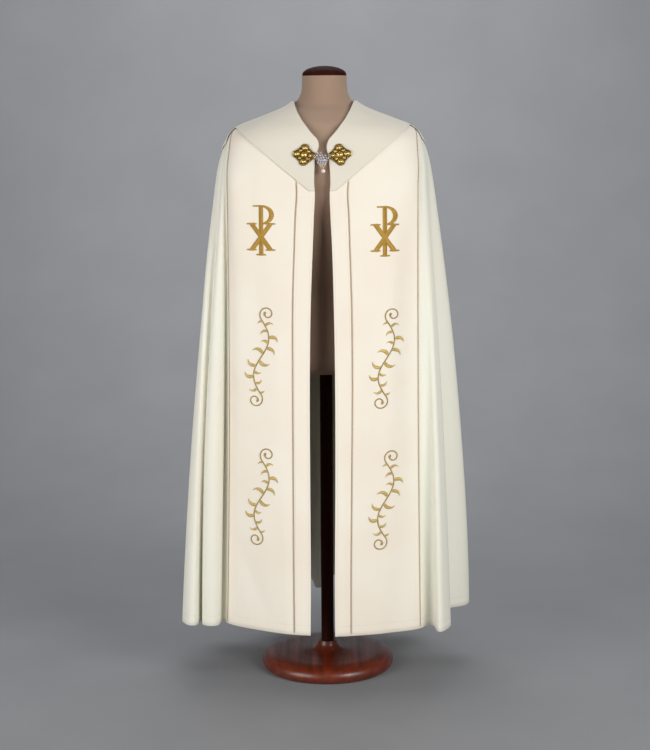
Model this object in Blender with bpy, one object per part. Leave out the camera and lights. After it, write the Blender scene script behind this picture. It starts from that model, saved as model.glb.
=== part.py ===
"""A cope, the long open-fronted cloak of a priest, on a limbless dress form with a round wooden base.

Metres, +Z up. The origin is the middle of the base's underside. The garment's front faces -Y, and "left" and
"right" are as seen from the front, so left is -X.

The cloth is one surface, cut into pieces where a maker sews them. Key lines run down it, numbered from one
front edge round the back to the other: the edges and seams of the two fronts, then each valley and ridge of
the cloak. At any height the key lines give the points of one section, and a smooth curve joins them.
"""

import math
from collections import namedtuple

import bmesh
import bpy
from mathutils import Matrix, Vector

MM = 0.001

# Driving dimensions of the cloth
WALL = 2.0 * MM  # face cloth, interlining and backing together
SEAM_GAP = 0.3 * MM  # between two pieces sewn edge to edge
HEM_Z = 0.165
YOKE_Z = 1.36  # chest height: the folds hang free below it
BELL = 0.27  # how much sooner than a straight cone the fronts flare
FOLD_TOP_Z = 1.495  # the folds fade out up to here
FOLD_ROUNDNESS = 1.6  # how much wider the valleys and ridges turn than the plain curve through them
SIDEWAYS_DEPTH = 0.6  # share of a fold's depth that is taken off the section's front and back

# Driving dimensions of the fronts
EDGE_BAND = 0.0465  # width of the plain band along each front edge
LEFT_WAIST = 7.0 * MM  # how far the left panel's outer edge draws in, half way down
RIGHT_WAIST = 3.0 * MM  # and the right one's
PANEL_MIDDLE = 0.5  # where the panel's middle key line runs at the shoulders
TRIM_WIDTH = 3.0 * MM
TRIM_HEIGHT = 1.1 * MM
TRIM_LIFT = 0.8 * MM
TRIM_END = 6.0 * MM  # a trim stops this far short of the hem and of the collar

# Collar: a level point in front, one straight slant to each shoulder end and a curve over the back
COLLAR_LAY_NECK = 0.6 * MM  # clearance under the collar at the neckline
COLLAR_LAY_EDGE = 2.2 * MM  # and where it stands off lower down
COLLAR_LAY_DEPTH = 0.070  # height over which the clearance grows
COLLAR_POINT_Z = 1.341
COLLAR_POINT_LEFT = 0.0400  # distance from the middle at which the slant starts
COLLAR_POINT_RIGHT = 0.0250
COLLAR_SLOPE = 0.83
COLLAR_BACK_DROP = 0.125
COLLAR_BACK_ROUNDING = 1.4  # over 1, so that the curve leaves the shoulder ends level
COLLAR_ROW_MIN = 3.0 * MM  # no row of the collar's points comes closer to its edge

# Clasp: two four-lobed plates with bosses, a chain and a pendant
CLASP_LEFT_X = -0.0544
CLASP_RIGHT_X = 0.0395
CLASP_Z = 1.4350
CLASP_TILT = math.radians(7)  # each half leans towards the middle
CLASP_LIFT = 0.4 * MM
LOBE_REACH = 19.0 * MM
LOBE_RADIUS = 11.5 * MM
CLASP_WAIST = 23.0 * MM
CLASP_PLATE = 2.2 * MM
CLASP_HOLLOW = 0.5 * MM  # how far the back of the plate is dished
BOSS_HEIGHT = 4.0 * MM
CENTRE_BOSS_RADIUS = 8.0 * MM
LOBE_BOSS_RADIUS = 7.0 * MM
CHAIN_RADIUS = 1.3 * MM
CHAIN_SAG = 9.0 * MM
CHAIN_CLEARANCE = 0.4 * MM
PENDANT_RADIUS = 8.0 * MM
PEARL_RADIUS = 4.6 * MM

# Dress form
FORM_SIDES = 40
FORM_CLEARANCE = 0.9 * MM  # between the form's shoulders and the cloth that lies on them
FORM_EASE = 2.5 * MM  # and how much more in front and behind, where the cloth hangs free
NECK_TOP_Z = 1.642
CAP_RADIUS = 0.0592
CAP_HEIGHT = 0.0260
POLE_RADIUS = 0.0175
BASE_RADIUS = 0.1845
JOIN_GAP = 0.3 * MM

# The shoulders, from chest height up to the neckline. front and back are the depths from the axis, power is
# the superellipse's, the seam angles are where each front ends (0 is the front, 90 the side), and the open
# columns are the distances of the front edges from the middle.
Level = namedtuple("Level", "z half_width front back power seam_left seam_right open_left open_right")
SHOULDERS = (
    Level(1.3600, 0.2945, 0.1450, 0.1500, 2.5, 58.8, 53.2, 0.0315, 0.0170),
    Level(1.4000, 0.2870, 0.1398, 0.1440, 2.5, 61.8, 56.6, 0.0285, 0.0135),
    Level(1.4350, 0.2780, 0.1350, 0.1370, 2.4, 64.8, 60.2, 0.0240, 0.0080),
    Level(1.4560, 0.2705, 0.1315, 0.1320, 2.4, 67.6, 63.2, 0.0155, 0.0045),
    Level(1.4750, 0.2620, 0.1275, 0.1265, 2.4, 72.0, 67.6, 0.0190, 0.0105),
    Level(1.4900, 0.2530, 0.1230, 0.1205, 2.3, 78.5, 74.0, 0.0335, 0.0245),
    Level(1.5020, 0.2410, 0.1180, 0.1150, 2.2, 87.0, 83.5, 0.0430, 0.0345),
    Level(1.5120, 0.2235, 0.1125, 0.1100, 2.1, 90.0, 90.0, 0.0505, 0.0420),
    Level(1.5220, 0.1980, 0.1060, 0.1050, 2.0, 90.0, 90.0, 0.0580, 0.0500),
    Level(1.5350, 0.1645, 0.0975, 0.0985, 2.0, 90.0, 90.0, 0.0655, 0.0580),
    Level(1.5500, 0.1270, 0.0875, 0.0905, 2.0, 90.0, 90.0, 0.0735, 0.0665),
    Level(1.5640, 0.0990, 0.0790, 0.0840, 2.0, 90.0, 90.0, 0.0790, 0.0735),
    Level(1.5750, 0.0850, 0.0730, 0.0790, 2.0, 90.0, 90.0, 0.0825, 0.0790),
)

# Where the fronts reach at the hem, as distances from the middle and from the axis towards the front: the
# front edge, the inner seam, the middle of the panel and the outer seam.
FrontHem = namedtuple("FrontHem", "edge_x edge_y inner_x inner_y panel_x panel_y outer_x outer_y")
LEFT_HEM = FrontHem(0.0450, 0.2540, 0.0930, 0.2455, 0.1850, 0.2030, 0.2735, 0.1400)
RIGHT_HEM = FrontHem(0.0180, 0.2650, 0.0640, 0.2590, 0.1600, 0.2360, 0.2510, 0.1960)

# The cloak's folds from the left front, round the back, to the right front. yoke_deg is where the line runs
# at chest height (90 the left side, 180 the back, 270 the right side) and yoke_in how far it lies inside the
# section there; bell is how much sooner than a straight cone it flares, or later if it is under 0; hem_x and
# hem_y are its place at the hem.
Fold = namedtuple("Fold", "name yoke_deg yoke_in bell hem_x hem_y")
FOLDS = (
    Fold("left_valley_1", 62.4, 5 * MM, -0.60, -0.293, -0.112),
    Fold("left_ridge_1_front", 65.0, 1 * MM, 0.40, -0.304, -0.163),
    Fold("left_ridge_1_side", 68.5, 1 * MM, 0.60, -0.333, -0.160),
    Fold("left_valley_2", 73.0, 10 * MM, 0.85, -0.345, -0.108),
    Fold("left_ridge_2_front", 79.5, 2 * MM, 0.60, -0.363, -0.160),
    Fold("left_ridge_2_side", 89.5, 0 * MM, 0.45, -0.400, -0.118),
    Fold("left_valley_3", 100.0, 9 * MM, 0.27, -0.318, -0.045),
    Fold("left_ridge_3_front", 108.0, 0 * MM, 0.27, -0.390, -0.010),
    Fold("left_ridge_3_back", 117.0, 0 * MM, 0.27, -0.394, 0.072),
    Fold("left_valley_4", 127.0, 7 * MM, 0.27, -0.272, 0.098),
    Fold("left_ridge_4_side", 137.0, 0 * MM, 0.27, -0.336, 0.178),
    Fold("left_ridge_4_back", 146.0, 1 * MM, 0.27, -0.268, 0.246),
    Fold("left_valley_5", 155.0, 6 * MM, 0.27, -0.160, 0.182),
    Fold("back_ridge_left_outer", 164.0, 0 * MM, 0.27, -0.168, 0.300),
    Fold("back_ridge_left_inner", 173.0, 0 * MM, 0.27, -0.078, 0.330),
    Fold("back_valley", 181.0, 5 * MM, 0.27, -0.024, 0.196),
    Fold("back_ridge_right_inner", 189.0, 0 * MM, 0.27, 0.012, 0.326),
    Fold("back_ridge_right_outer", 198.0, 0 * MM, 0.27, 0.104, 0.334),
    Fold("right_valley_4", 207.0, 6 * MM, 0.27, 0.116, 0.190),
    Fold("right_ridge_3_back", 217.0, 0 * MM, 0.27, 0.196, 0.300),
    Fold("right_ridge_3_side", 227.0, 1 * MM, 0.30, 0.276, 0.250),
    Fold("right_valley_3", 240.0, 8 * MM, 0.40, 0.236, 0.118),
    Fold("right_ridge_2_back", 253.0, 0 * MM, 0.60, 0.366, 0.128),
    Fold("right_ridge_2_front", 267.0, 0 * MM, 0.75, 0.402, 0.044),
    Fold("right_valley_2", 287.5, 10 * MM, 0.45, 0.310, -0.052),
    Fold("right_ridge_1_side", 294.5, 3 * MM, 0.40, 0.327, -0.196),
    Fold("right_ridge_1_front", 298.5, 1 * MM, 0.27, 0.303, -0.228),
    Fold("right_valley_1", 301.5, 3 * MM, 1.20, 0.279, -0.168),
)

# The key lines' numbers, counted from the left front edge
LEFT_EDGE, LEFT_INNER, LEFT_PANEL, LEFT_OUTER = 0, 1, 2, 3
RIGHT_OUTER = LEFT_OUTER + len(FOLDS) + 1
RIGHT_PANEL, RIGHT_INNER, RIGHT_EDGE = RIGHT_OUTER + 1, RIGHT_OUTER + 2, RIGHT_OUTER + 3

# How fine the solids are: the columns from one key line to the next, and the heights below the shoulders
BAND_STEPS = (0, 0.5)
PANEL_STEPS = (0, 0.25, 0.5, 0.75)
FOLD_STEPS = (0, 0.2, 0.8)  # close together where the cloth turns
COLLAR_FOLD_STEPS = (0, 0.5)
SKIRT_HEIGHTS = (HEM_Z, 0.36, 0.57, 0.78, 0.97, 1.13, 1.26)
HEIGHTS = SKIRT_HEIGHTS + tuple(level.z for level in SHOULDERS)
NECKLINE_Z = HEIGHTS[-1]

# Finishes: colour, roughness and metallic value
Look = namedtuple("Look", "name colour roughness metallic")
CLOAK_CLOTH = Look("cloak_cloth", (0.80, 0.80, 0.72), 0.62, 0.0)
PANEL_CLOTH = Look("panel_cloth", (0.84, 0.80, 0.71), 0.68, 0.0)
GOLD_BRAID = Look("gold_braid", (0.62, 0.42, 0.18), 0.4, 0.6)
GILT_METAL = Look("gilt_metal", (0.70, 0.46, 0.13), 0.3, 1.0)
CRYSTAL = Look("crystal", (0.85, 0.86, 0.90), 0.1, 0.0)
FORM_LINEN = Look("form_linen", (0.38, 0.27, 0.20), 0.85, 0.0)
STAINED_WOOD = Look("stained_wood", (0.16, 0.02, 0.008), 0.3, 0.0)


def smooth(values, spans, share, roundness=(1.0, 1.0)):
    """A number or vector on the smooth curve from the second of four values to the third.

    spans are the three distances between the values, so that an uneven row of them makes no overshoot.
    roundness over 1 makes the curve turn wider at its start and its end.
    """
    before, start, end, after = values
    lead, span, trail = spans
    steady = (end - start) / span
    leaving = ((start - before) / lead * span + steady * lead) / (lead + span) * span * roundness[0]
    arriving = (steady * trail + (after - end) / trail * span) / (span + trail) * span * roundness[1]
    square, cube = share**2, share**3
    ends = start * (2 * cube - 3 * square + 1) + end * (3 * square - 2 * cube)
    return ends + leaving * (cube - 2 * square + share) + arriving * (cube - square)


def shoulder_level(z):
    """The shoulders' sizes at height z, read smoothly between the table's rows."""
    last = len(SHOULDERS) - 1
    row = next((i for i in range(last) if z <= SHOULDERS[i + 1].z), last - 1)
    low, high = SHOULDERS[row], SHOULDERS[row + 1]
    below = SHOULDERS[row - 1] if row > 0 else Level(*(2 * a - b for a, b in zip(low, high)))
    above = SHOULDERS[row + 2] if row + 2 <= last else Level(*(2 * b - a for a, b in zip(low, high)))
    spans = (low.z - below.z, high.z - low.z, above.z - high.z)
    share = (z - low.z) / spans[1]
    return Level(*(smooth(four, spans, share) for four in zip(below, low, high, above)))


def on_oval(level, degrees, inside=0.0):
    """The point of a section at an angle from the front, counted over the left side."""
    across, along = math.sin(math.radians(degrees)), math.cos(math.radians(degrees))
    depth = level.front if along > 0 else level.back
    x = math.copysign(abs(across) ** (2 / level.power), -across) * (level.half_width - inside)
    y = math.copysign(abs(along) ** (2 / level.power), -along) * (depth - inside * SIDEWAYS_DEPTH)
    return Vector((x, y))


def oval_angle(level, distance):
    """The angle from the front at which a section is this far from the middle."""
    return math.degrees(math.asin(min(1.0, (distance / level.half_width) ** (level.power / 2))))


def front_angles(level, opening, seam):
    """The angles of one front's four key lines at a height on the shoulders."""
    edge = oval_angle(level, opening)
    inner = min(oval_angle(level, opening + EDGE_BAND), edge + 0.3 * (seam - edge))
    return edge, inner, inner + (seam - inner) * PANEL_MIDDLE, seam


def shoulder_lines(z):
    """The key lines' points at a height on the shoulders."""
    level = shoulder_level(z)
    left_angles = front_angles(level, level.open_left, level.seam_left)
    right_angles = front_angles(level, level.open_right, level.seam_right)
    fade = min(1.0, max(0.0, (FOLD_TOP_Z - z) / (FOLD_TOP_Z - YOKE_Z)))
    folds = []
    for fold in FOLDS:
        seam, yoke_seam = level.seam_left, SHOULDERS[0].seam_left
        if fold.yoke_deg > 180:
            seam, yoke_seam = level.seam_right, SHOULDERS[0].seam_right
        turn = 180 + (fold.yoke_deg - 180) * (180 - seam) / (180 - yoke_seam)
        folds.append(on_oval(level, turn, fold.yoke_in * fade))
    left = [on_oval(level, angle) for angle in left_angles]
    right = [on_oval(level, 360 - angle) for angle in reversed(right_angles)]
    return left + folds + right


def hem_lines():
    """The key lines' points at the hem."""
    fronts = []
    for hem in (LEFT_HEM, RIGHT_HEM):
        fronts.append(
            [
                Vector((hem.edge_x, -hem.edge_y)),
                Vector((hem.inner_x, -hem.inner_y)),
                Vector((hem.panel_x, -hem.panel_y)),
                Vector((hem.outer_x, -hem.outer_y)),
            ]
        )
    left = [Vector((-point.x, point.y)) for point in fronts[0]]
    return left + [Vector((fold.hem_x, fold.hem_y)) for fold in FOLDS] + fronts[1][::-1]


def key_lines(z):
    """The key lines' points at any height."""
    if z >= YOKE_Z:
        return shoulder_lines(z)
    fallen = (YOKE_Z - z) / (YOKE_Z - HEM_Z)
    bells = [BELL] * (LEFT_OUTER + 1) + [fold.bell for fold in FOLDS] + [BELL] * (RIGHT_EDGE - RIGHT_OUTER + 1)
    shares = [fallen + bell * fallen * (1 - fallen) for bell in bells]
    points = [top.lerp(low, share) for top, low, share in zip(shoulder_lines(YOKE_Z), hem_lines(), shares)]
    drawn_in = math.sin(math.pi * fallen)
    points[LEFT_OUTER].x += LEFT_WAIST * drawn_in
    points[LEFT_PANEL].x += LEFT_WAIST * drawn_in / 2
    points[RIGHT_PANEL].x -= RIGHT_WAIST * drawn_in / 2
    points[RIGHT_OUTER].x -= RIGHT_WAIST * drawn_in
    return points


def on_cloth(line, z):
    """The outer face of the cloth at a height and at a place between key lines, such as 3.5."""
    points = key_lines(z)
    last = len(points) - 1
    start = min(last - 1, max(0, math.floor(line)))
    before = points[start - 1] if start > 0 else 2 * points[0] - points[1]
    after = points[start + 2] if start + 2 <= last else 2 * points[last] - points[last - 1]
    four = (before, points[start], points[start + 1], after)
    spans = [(b - a).length for a, b in zip(four, four[1:])]
    roundness = [FOLD_ROUNDNESS if LEFT_OUTER < end < RIGHT_OUTER else 1.0 for end in (start, start + 1)]
    x, y = smooth(four, spans, line - start, roundness)
    return Vector((x, y, z))


def cloth_frame(line, z):
    """The cloth's outer point, its outward normal and the direction along its section."""
    step, rise = 0.02, 2 * MM
    along = on_cloth(min(line + step, RIGHT_EDGE), z) - on_cloth(max(line - step, LEFT_EDGE), z)
    up = on_cloth(line, min(z + rise, NECKLINE_Z)) - on_cloth(line, max(z - rise, HEM_Z))
    return on_cloth(line, z), up.cross(along).normalized(), along.normalized()


def columns(first, last, fold_steps=FOLD_STEPS):
    """The places of a piece's columns between two key lines."""
    places = []
    for line in range(first, last):
        steps = fold_steps
        if line in (LEFT_EDGE, RIGHT_INNER):
            steps = BAND_STEPS
        elif line < LEFT_OUTER or line >= RIGHT_OUTER:
            steps = PANEL_STEPS
        places += [line + step for step in steps]
    return places + [last]


def material(look):
    """A plain finish, made once and shared."""
    made = bpy.data.materials.get(look.name)
    if made is None:
        made = bpy.data.materials.new(look.name)
        made.use_nodes = True
        shader = made.node_tree.nodes["Principled BSDF"]
        shader.inputs["Base Color"].default_value = (*look.colour, 1)
        shader.inputs["Roughness"].default_value = look.roughness
        shader.inputs["Metallic"].default_value = look.metallic
    return made


def finish(bm, name, look):
    """Turns a bmesh into a named object with its material."""
    bmesh.ops.recalc_face_normals(bm, faces=bm.faces)
    mesh = bpy.data.meshes.new(name)
    bm.to_mesh(mesh)
    bm.free()
    mesh.shade_smooth()
    mesh.set_sharp_from_angle(angle=math.radians(40))
    mesh.materials.append(material(look))
    bpy.context.collection.objects.link(bpy.data.objects.new(name, mesh))


def grid_rows(column_count, row_count):
    """A bmesh grid of triangles, the layer that keeps its outward normals, and its vertices in rows."""
    bm = bmesh.new()
    outward = bm.verts.layers.float_vector.new("outward")
    bmesh.ops.create_grid(bm, x_segments=column_count - 1, y_segments=row_count - 1, size=0.5)
    bmesh.ops.triangulate(bm, faces=bm.faces, quad_method="FIXED")
    order = sorted(bm.verts, key=lambda v: (round(v.co.y, 5), round(v.co.x, 5)))
    return bm, outward, [order[i * column_count : (i + 1) * column_count] for i in range(row_count)]


def thicken(bm, outward):
    """Gives an open surface its wall, inwards along the normals kept on its vertices."""
    made = bmesh.ops.extrude_face_region(bm, geom=bm.faces)
    for vertex in (item for item in made["geom"] if isinstance(item, bmesh.types.BMVert)):
        vertex.co -= vertex[outward] * WALL


def cloth_piece(name, first, last, look):
    """One sewn piece: the wall between two key lines, from the hem to the neckline."""
    places = columns(first, last)
    bm, outward, rows = grid_rows(len(places), len(HEIGHTS))
    side = {first: SEAM_GAP / 2, last: -SEAM_GAP / 2}
    for row, z in zip(rows, HEIGHTS):
        for vertex, line in zip(row, places):
            point, normal, along = cloth_frame(line, z)
            vertex.co = point + along * side.get(line, 0.0)
            vertex[outward] = normal
    thicken(bm, outward)
    finish(bm, name, look)


def ring_edges(ring):
    """The edges that join the vertices of one ring."""
    return [edge for edge in {e for v in ring for e in v.link_edges} if set(edge.verts) <= set(ring)]


def loft(name, rings, look):
    """A closed solid through rings of points, with a flat cap at each end."""
    bm = bmesh.new()
    loops = []
    for ring in rings:
        circle = bmesh.ops.create_circle(bm, segments=len(ring), radius=1.0)["verts"]
        for vertex, point in zip(circle, ring):
            vertex.co = point
        loops.append(circle)
    edges = [ring_edges(loop) for loop in loops]
    for low, high in zip(edges, edges[1:]):
        bmesh.ops.bridge_loops(bm, edges=low + high)
    for loop in (edges[0], edges[-1]):
        bmesh.ops.contextual_create(bm, geom=loop)
    finish(bm, name, look)


def trim(name, line):
    """The flat metallic braid over the seam along a key line, from the hem to the collar's edge."""
    top_z = collar_edge_z(line) - TRIM_END
    between = [z for z in HEIGHTS if HEM_Z < z < top_z - 4 * MM]
    section = (
        (-TRIM_WIDTH / 2, TRIM_LIFT),
        (-TRIM_WIDTH / 3, TRIM_LIFT + TRIM_HEIGHT),
        (TRIM_WIDTH / 3, TRIM_LIFT + TRIM_HEIGHT),
        (TRIM_WIDTH / 2, TRIM_LIFT),
    )
    rings = []
    for z in (HEM_Z + TRIM_END, *between, top_z):
        point, normal, along = cloth_frame(line, z)
        rings.append([point + along * side + normal * lift for side, lift in section])
    loft(name, rings, GOLD_BRAID)


def slant_z(x):
    """The height of the collar's slanting edge in front, at a distance from the middle."""
    start = COLLAR_POINT_LEFT if x < 0 else COLLAR_POINT_RIGHT
    return COLLAR_POINT_Z + COLLAR_SLOPE * max(0.0, abs(x) - start)


def front_edge_z(line):
    """Where a key line of a front meets the collar's slanting edge."""
    low, high = COLLAR_POINT_Z, NECKLINE_Z
    for _ in range(24):
        middle = (low + high) / 2
        if middle < slant_z(on_cloth(line, middle).x):
            low = middle
        else:
            high = middle
    return high


def collar_edge_z(line):
    """The height of the collar's edge along a key line."""
    if line <= LEFT_OUTER or line >= RIGHT_OUTER:
        return front_edge_z(line)
    share = (line - LEFT_OUTER) / (RIGHT_OUTER - LEFT_OUTER)
    ends = front_edge_z(LEFT_OUTER) * (1 - share) + front_edge_z(RIGHT_OUTER) * share
    return ends - COLLAR_BACK_DROP * math.sin(math.pi * share) ** COLLAR_BACK_ROUNDING


def collar_lay(z):
    """The clearance between the collar and the cloth under it, at a height."""
    return COLLAR_LAY_NECK + (COLLAR_LAY_EDGE - COLLAR_LAY_NECK) * min(1.0, (NECKLINE_Z - z) / COLLAR_LAY_DEPTH)


def collar():
    """The wide flat collar: the shoulders' own points moved out, down to the collar's edge."""
    places = columns(LEFT_EDGE, RIGHT_EDGE, COLLAR_FOLD_STEPS)
    heights = [COLLAR_POINT_Z] + [level.z for level in SHOULDERS]
    bm, outward, rows = grid_rows(len(places), len(heights))
    for column, line in enumerate(places):
        edge_z = collar_edge_z(line)
        for row, z in zip(rows, heights):
            z = z if z > edge_z + COLLAR_ROW_MIN else edge_z
            point, normal, _ = cloth_frame(line, z)
            row[column].co = point + normal * (collar_lay(z) + WALL)
            row[column][outward] = normal
    bmesh.ops.dissolve_degenerate(bm, edges=bm.edges, dist=0.2 * MM)
    bmesh.ops.remove_doubles(bm, verts=bm.verts, dist=0.2 * MM)
    thicken(bm, outward)
    finish(bm, "collar", CLOAK_CLOTH)


def clasp_reach(angle):
    """How far the four-lobed plate reaches at an angle."""
    off_lobe = (angle + math.pi / 4) % (math.pi / 2) - math.pi / 4
    beside = LOBE_REACH * math.sin(off_lobe)
    if abs(beside) > LOBE_RADIUS:
        return CLASP_WAIST
    return max(CLASP_WAIST, LOBE_REACH * math.cos(off_lobe) + math.sqrt(LOBE_RADIUS**2 - beside**2))


def clasp_relief(x, y):
    """The height of the plate's upper face: a boss in the middle and one on each lobe."""
    seats = [(0.0, 0.0, CENTRE_BOSS_RADIUS)]
    for quarter in range(4):
        angle = quarter * math.pi / 2
        seats.append((LOBE_REACH * math.cos(angle), LOBE_REACH * math.sin(angle), LOBE_BOSS_RADIUS))
    domes = (1 - ((x - seat_x) ** 2 + (y - seat_y) ** 2) / radius**2 for seat_x, seat_y, radius in seats)
    return CLASP_PLATE + BOSS_HEIGHT * math.sqrt(max(0.0, *domes))


def clasp_place(x):
    """The matrix that lays a clasp on the collar, with its own +Z outwards."""
    side = math.copysign(1, x)
    low, high = (LEFT_EDGE, LEFT_OUTER) if side < 0 else (RIGHT_EDGE, RIGHT_OUTER)
    for _ in range(24):
        middle = (low + high) / 2
        if abs(on_cloth(middle, CLASP_Z).x) < abs(x):
            low = middle
        else:
            high = middle
    point, outward, along = cloth_frame(low, CLASP_Z)
    point += outward * (collar_lay(CLASP_Z) + WALL + CLASP_LIFT)
    across = -along
    turn = Matrix((across, outward.cross(across), outward)).transposed().to_4x4()
    return Matrix.Translation(point) @ turn @ Matrix.Rotation(side * CLASP_TILT, 4, "Z")


def clasp(name, x):
    """One half of the clasp: a plate with a dished back and its relief in rings, round in the middle."""
    spokes = 32
    place = clasp_place(x)
    shape = [(0.12, CLASP_HOLLOW), (0.55, 0.8 * CLASP_HOLLOW), (1.0, 0.0), (1.0, CLASP_PLATE)]
    shape += [(share, None) for share in (0.9, 0.8, 0.68, 0.54, 0.4, 0.26, 0.12)]
    bm, _, rows = grid_rows(spokes + 1, len(shape))
    for row, (share, height) in zip(rows, shape):
        for i, vertex in enumerate(row):
            angle = 2 * math.pi * (i % spokes) / spokes
            reach = share * (CLASP_WAIST + (clasp_reach(angle) - CLASP_WAIST) * share)
            u, v = reach * math.cos(angle), reach * math.sin(angle)
            vertex.co = place @ Vector((u, v, clasp_relief(u, v) if height is None else height))
    bmesh.ops.remove_doubles(bm, verts=bm.verts, dist=0.01 * MM)
    bmesh.ops.holes_fill(bm, edges=bm.edges, sides=spokes)
    finish(bm, name, GILT_METAL)


def chain_ends():
    """Where the chain meets the inner lobes of the two halves, just above their plates."""
    reach = LOBE_REACH + LOBE_RADIUS / 2
    lift = clasp_relief(reach, 0) + CHAIN_RADIUS + CHAIN_CLEARANCE
    left = clasp_place(CLASP_LEFT_X) @ Vector((reach, 0, lift))
    right = clasp_place(CLASP_RIGHT_X) @ Vector((-reach, 0, lift))
    return left, right


def tube(name, points, radius, look, sides=8):
    """A round rod with flat ends through points."""
    rings = []
    for i, point in enumerate(points):
        ahead = points[min(i + 1, len(points) - 1)] - points[max(i - 1, 0)]
        across = Vector((0, 1, 0)).cross(ahead).normalized()
        front = ahead.cross(across).normalized()
        angles = [2 * math.pi * k / sides for k in range(sides)]
        rings.append([point + (across * math.cos(a) + front * math.sin(a)) * radius for a in angles])
    loft(name, rings, look)


def turned(name, profile, look, sides=FORM_SIDES, centre=(0.0, 0.0)):
    """A turned piece from its outline, as (radius, height) from the bottom up, closed by flat ends."""
    rings = []
    for radius, z in profile:
        angles = [2 * math.pi * i / sides for i in range(sides)]
        rings.append([Vector((centre[0] + radius * math.cos(a), centre[1] + radius * math.sin(a), z)) for a in angles])
    loft(name, rings, look)


def fastening():
    """The chain that hangs between the halves of the clasp, and the pendant on it."""
    left, right = chain_ends()
    steps = 12
    points = []
    for i in range(steps + 1):
        share = i / steps
        points.append(left.lerp(right, share) - Vector((0, 0, CHAIN_SAG * 4 * share * (1 - share))))
    tube("clasp_chain", points, CHAIN_RADIUS, GILT_METAL)
    lowest = points[steps // 2]
    top = lowest.z - CHAIN_RADIUS - JOIN_GAP
    crystal_low = top - 3.2 * PENDANT_RADIUS
    pearl_z = crystal_low - 0.8 * PEARL_RADIUS
    profile = [(PEARL_RADIUS * math.cos(a), pearl_z + PEARL_RADIUS * math.sin(a)) for a in (-1.3, -0.8, -0.3, 0.2, 0.7)]
    profile += [(0.6 * PENDANT_RADIUS, crystal_low + 0.5 * PENDANT_RADIUS)]
    profile += [(PENDANT_RADIUS, crystal_low + 1.4 * PENDANT_RADIUS), (PENDANT_RADIUS, top - 0.8 * PENDANT_RADIUS)]
    profile += [(0.4 * PENDANT_RADIUS, top)]
    turned("clasp_pendant", profile, CRYSTAL, sides=12, centre=(lowest.x, lowest.y))


# The padded body, from its closed underside up to the ends of its shoulders
Girth = namedtuple("Girth", "z half_width front back power")
FORM_BODY = (
    Girth(0.8450, 0.1480, 0.0980, 0.1040, 2.2),
    Girth(0.8600, 0.1660, 0.1130, 0.1210, 2.2),
    Girth(0.9300, 0.1760, 0.1180, 0.1280, 2.2),
    Girth(1.0100, 0.1670, 0.1110, 0.1160, 2.2),
    Girth(1.0900, 0.1530, 0.1030, 0.1020, 2.2),
    Girth(1.1700, 0.1590, 0.1080, 0.1060, 2.2),
    Girth(1.2500, 0.1730, 0.1170, 0.1150, 2.2),
    Girth(1.3200, 0.1850, 0.1260, 0.1240, 2.2),
    Girth(1.3800, 0.1920, 0.1280, 0.1290, 2.2),
    Girth(1.4350, 0.1970, 0.1250, 0.1270, 2.2),
    Girth(1.4750, 0.1990, 0.1160, 0.1160, 2.2),
    Girth(1.5010, 0.1960, 0.1060, 0.1060, 2.1),
)
FORM_NECK = (
    Girth(1.5660, 0.0810, 0.0690, 0.0740, 2.0),
    Girth(1.5840, 0.0690, 0.0640, 0.0675, 2.0),
    Girth(1.5980, 0.0630, 0.0612, 0.0630, 2.0),
    Girth(1.6150, 0.0607, 0.0600, 0.0610, 2.0),
    Girth(NECK_TOP_Z, 0.0604, 0.0604, 0.0604, 2.0),
)
FORM_SHOULDER_Z = (1.52, 1.56)  # between these heights the form follows the inside of the cloth


def body_ring(girth):
    """One level section of the padded body."""
    level = Level(*girth, 0, 0, 0, 0)
    return [on_oval(level, 360 * i / FORM_SIDES).to_3d() + Vector((0, 0, girth.z)) for i in range(FORM_SIDES)]


def shoulder_ring(z):
    """One section of the form's shoulders, just inside the cloth that lies on them."""
    rise, turn = 2 * MM, 2.0
    ring = []
    for i in range(FORM_SIDES):
        angle = 360 * i / FORM_SIDES
        below, above = (on_oval(shoulder_level(height), angle) for height in (z - rise, z + rise))
        up = Vector((*(above - below), 2 * rise))
        along = (on_oval(shoulder_level(z), angle + turn) - on_oval(shoulder_level(z), angle - turn)).to_3d()
        inset = WALL + FORM_CLEARANCE + FORM_EASE * math.cos(math.radians(angle)) ** 2
        centre = on_oval(shoulder_level(z), angle).to_3d() + Vector((0, 0, z))
        ring.append(centre - up.cross(along).normalized() * inset)
    return ring


def dress_form():
    """The stand: the round base, the pole, the padded body and the cap on its neck."""
    base = [
        (BASE_RADIUS - 0.0105, 0.0),
        (BASE_RADIUS - 0.0030, 0.0060),
        (BASE_RADIUS, 0.0160),
        (BASE_RADIUS - 0.0030, 0.0280),
        (BASE_RADIUS - 0.0120, 0.0370),
        (BASE_RADIUS - 0.0280, 0.0415),
        (0.0620, 0.0450),
        (0.0400, 0.0490),
        (0.0300, 0.0580),
        (0.0250, 0.0720),
    ]
    turned("form_base", base, STAINED_WOOD, sides=40)
    pole = [(POLE_RADIUS, base[-1][1] + JOIN_GAP), (POLE_RADIUS, FORM_BODY[0].z - JOIN_GAP)]
    turned("form_pole", pole, STAINED_WOOD, sides=24)

    low, high = FORM_SHOULDER_Z
    shoulders = [shoulder_ring(level.z) for level in SHOULDERS if low < level.z < high]
    rings = [body_ring(girth) for girth in FORM_BODY] + shoulders + [body_ring(girth) for girth in FORM_NECK]
    loft("form_torso", rings, FORM_LINEN)

    low = NECK_TOP_Z + JOIN_GAP
    rim = 0.003
    cap = [(CAP_RADIUS - 0.001, low)]
    for angle in (0.0, 0.35, 0.7, 1.05, 1.35):
        cap.append((CAP_RADIUS * math.cos(angle), low + rim + (CAP_HEIGHT - rim) * math.sin(angle)))
    turned("form_cap", cap, STAINED_WOOD, sides=32)


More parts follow.
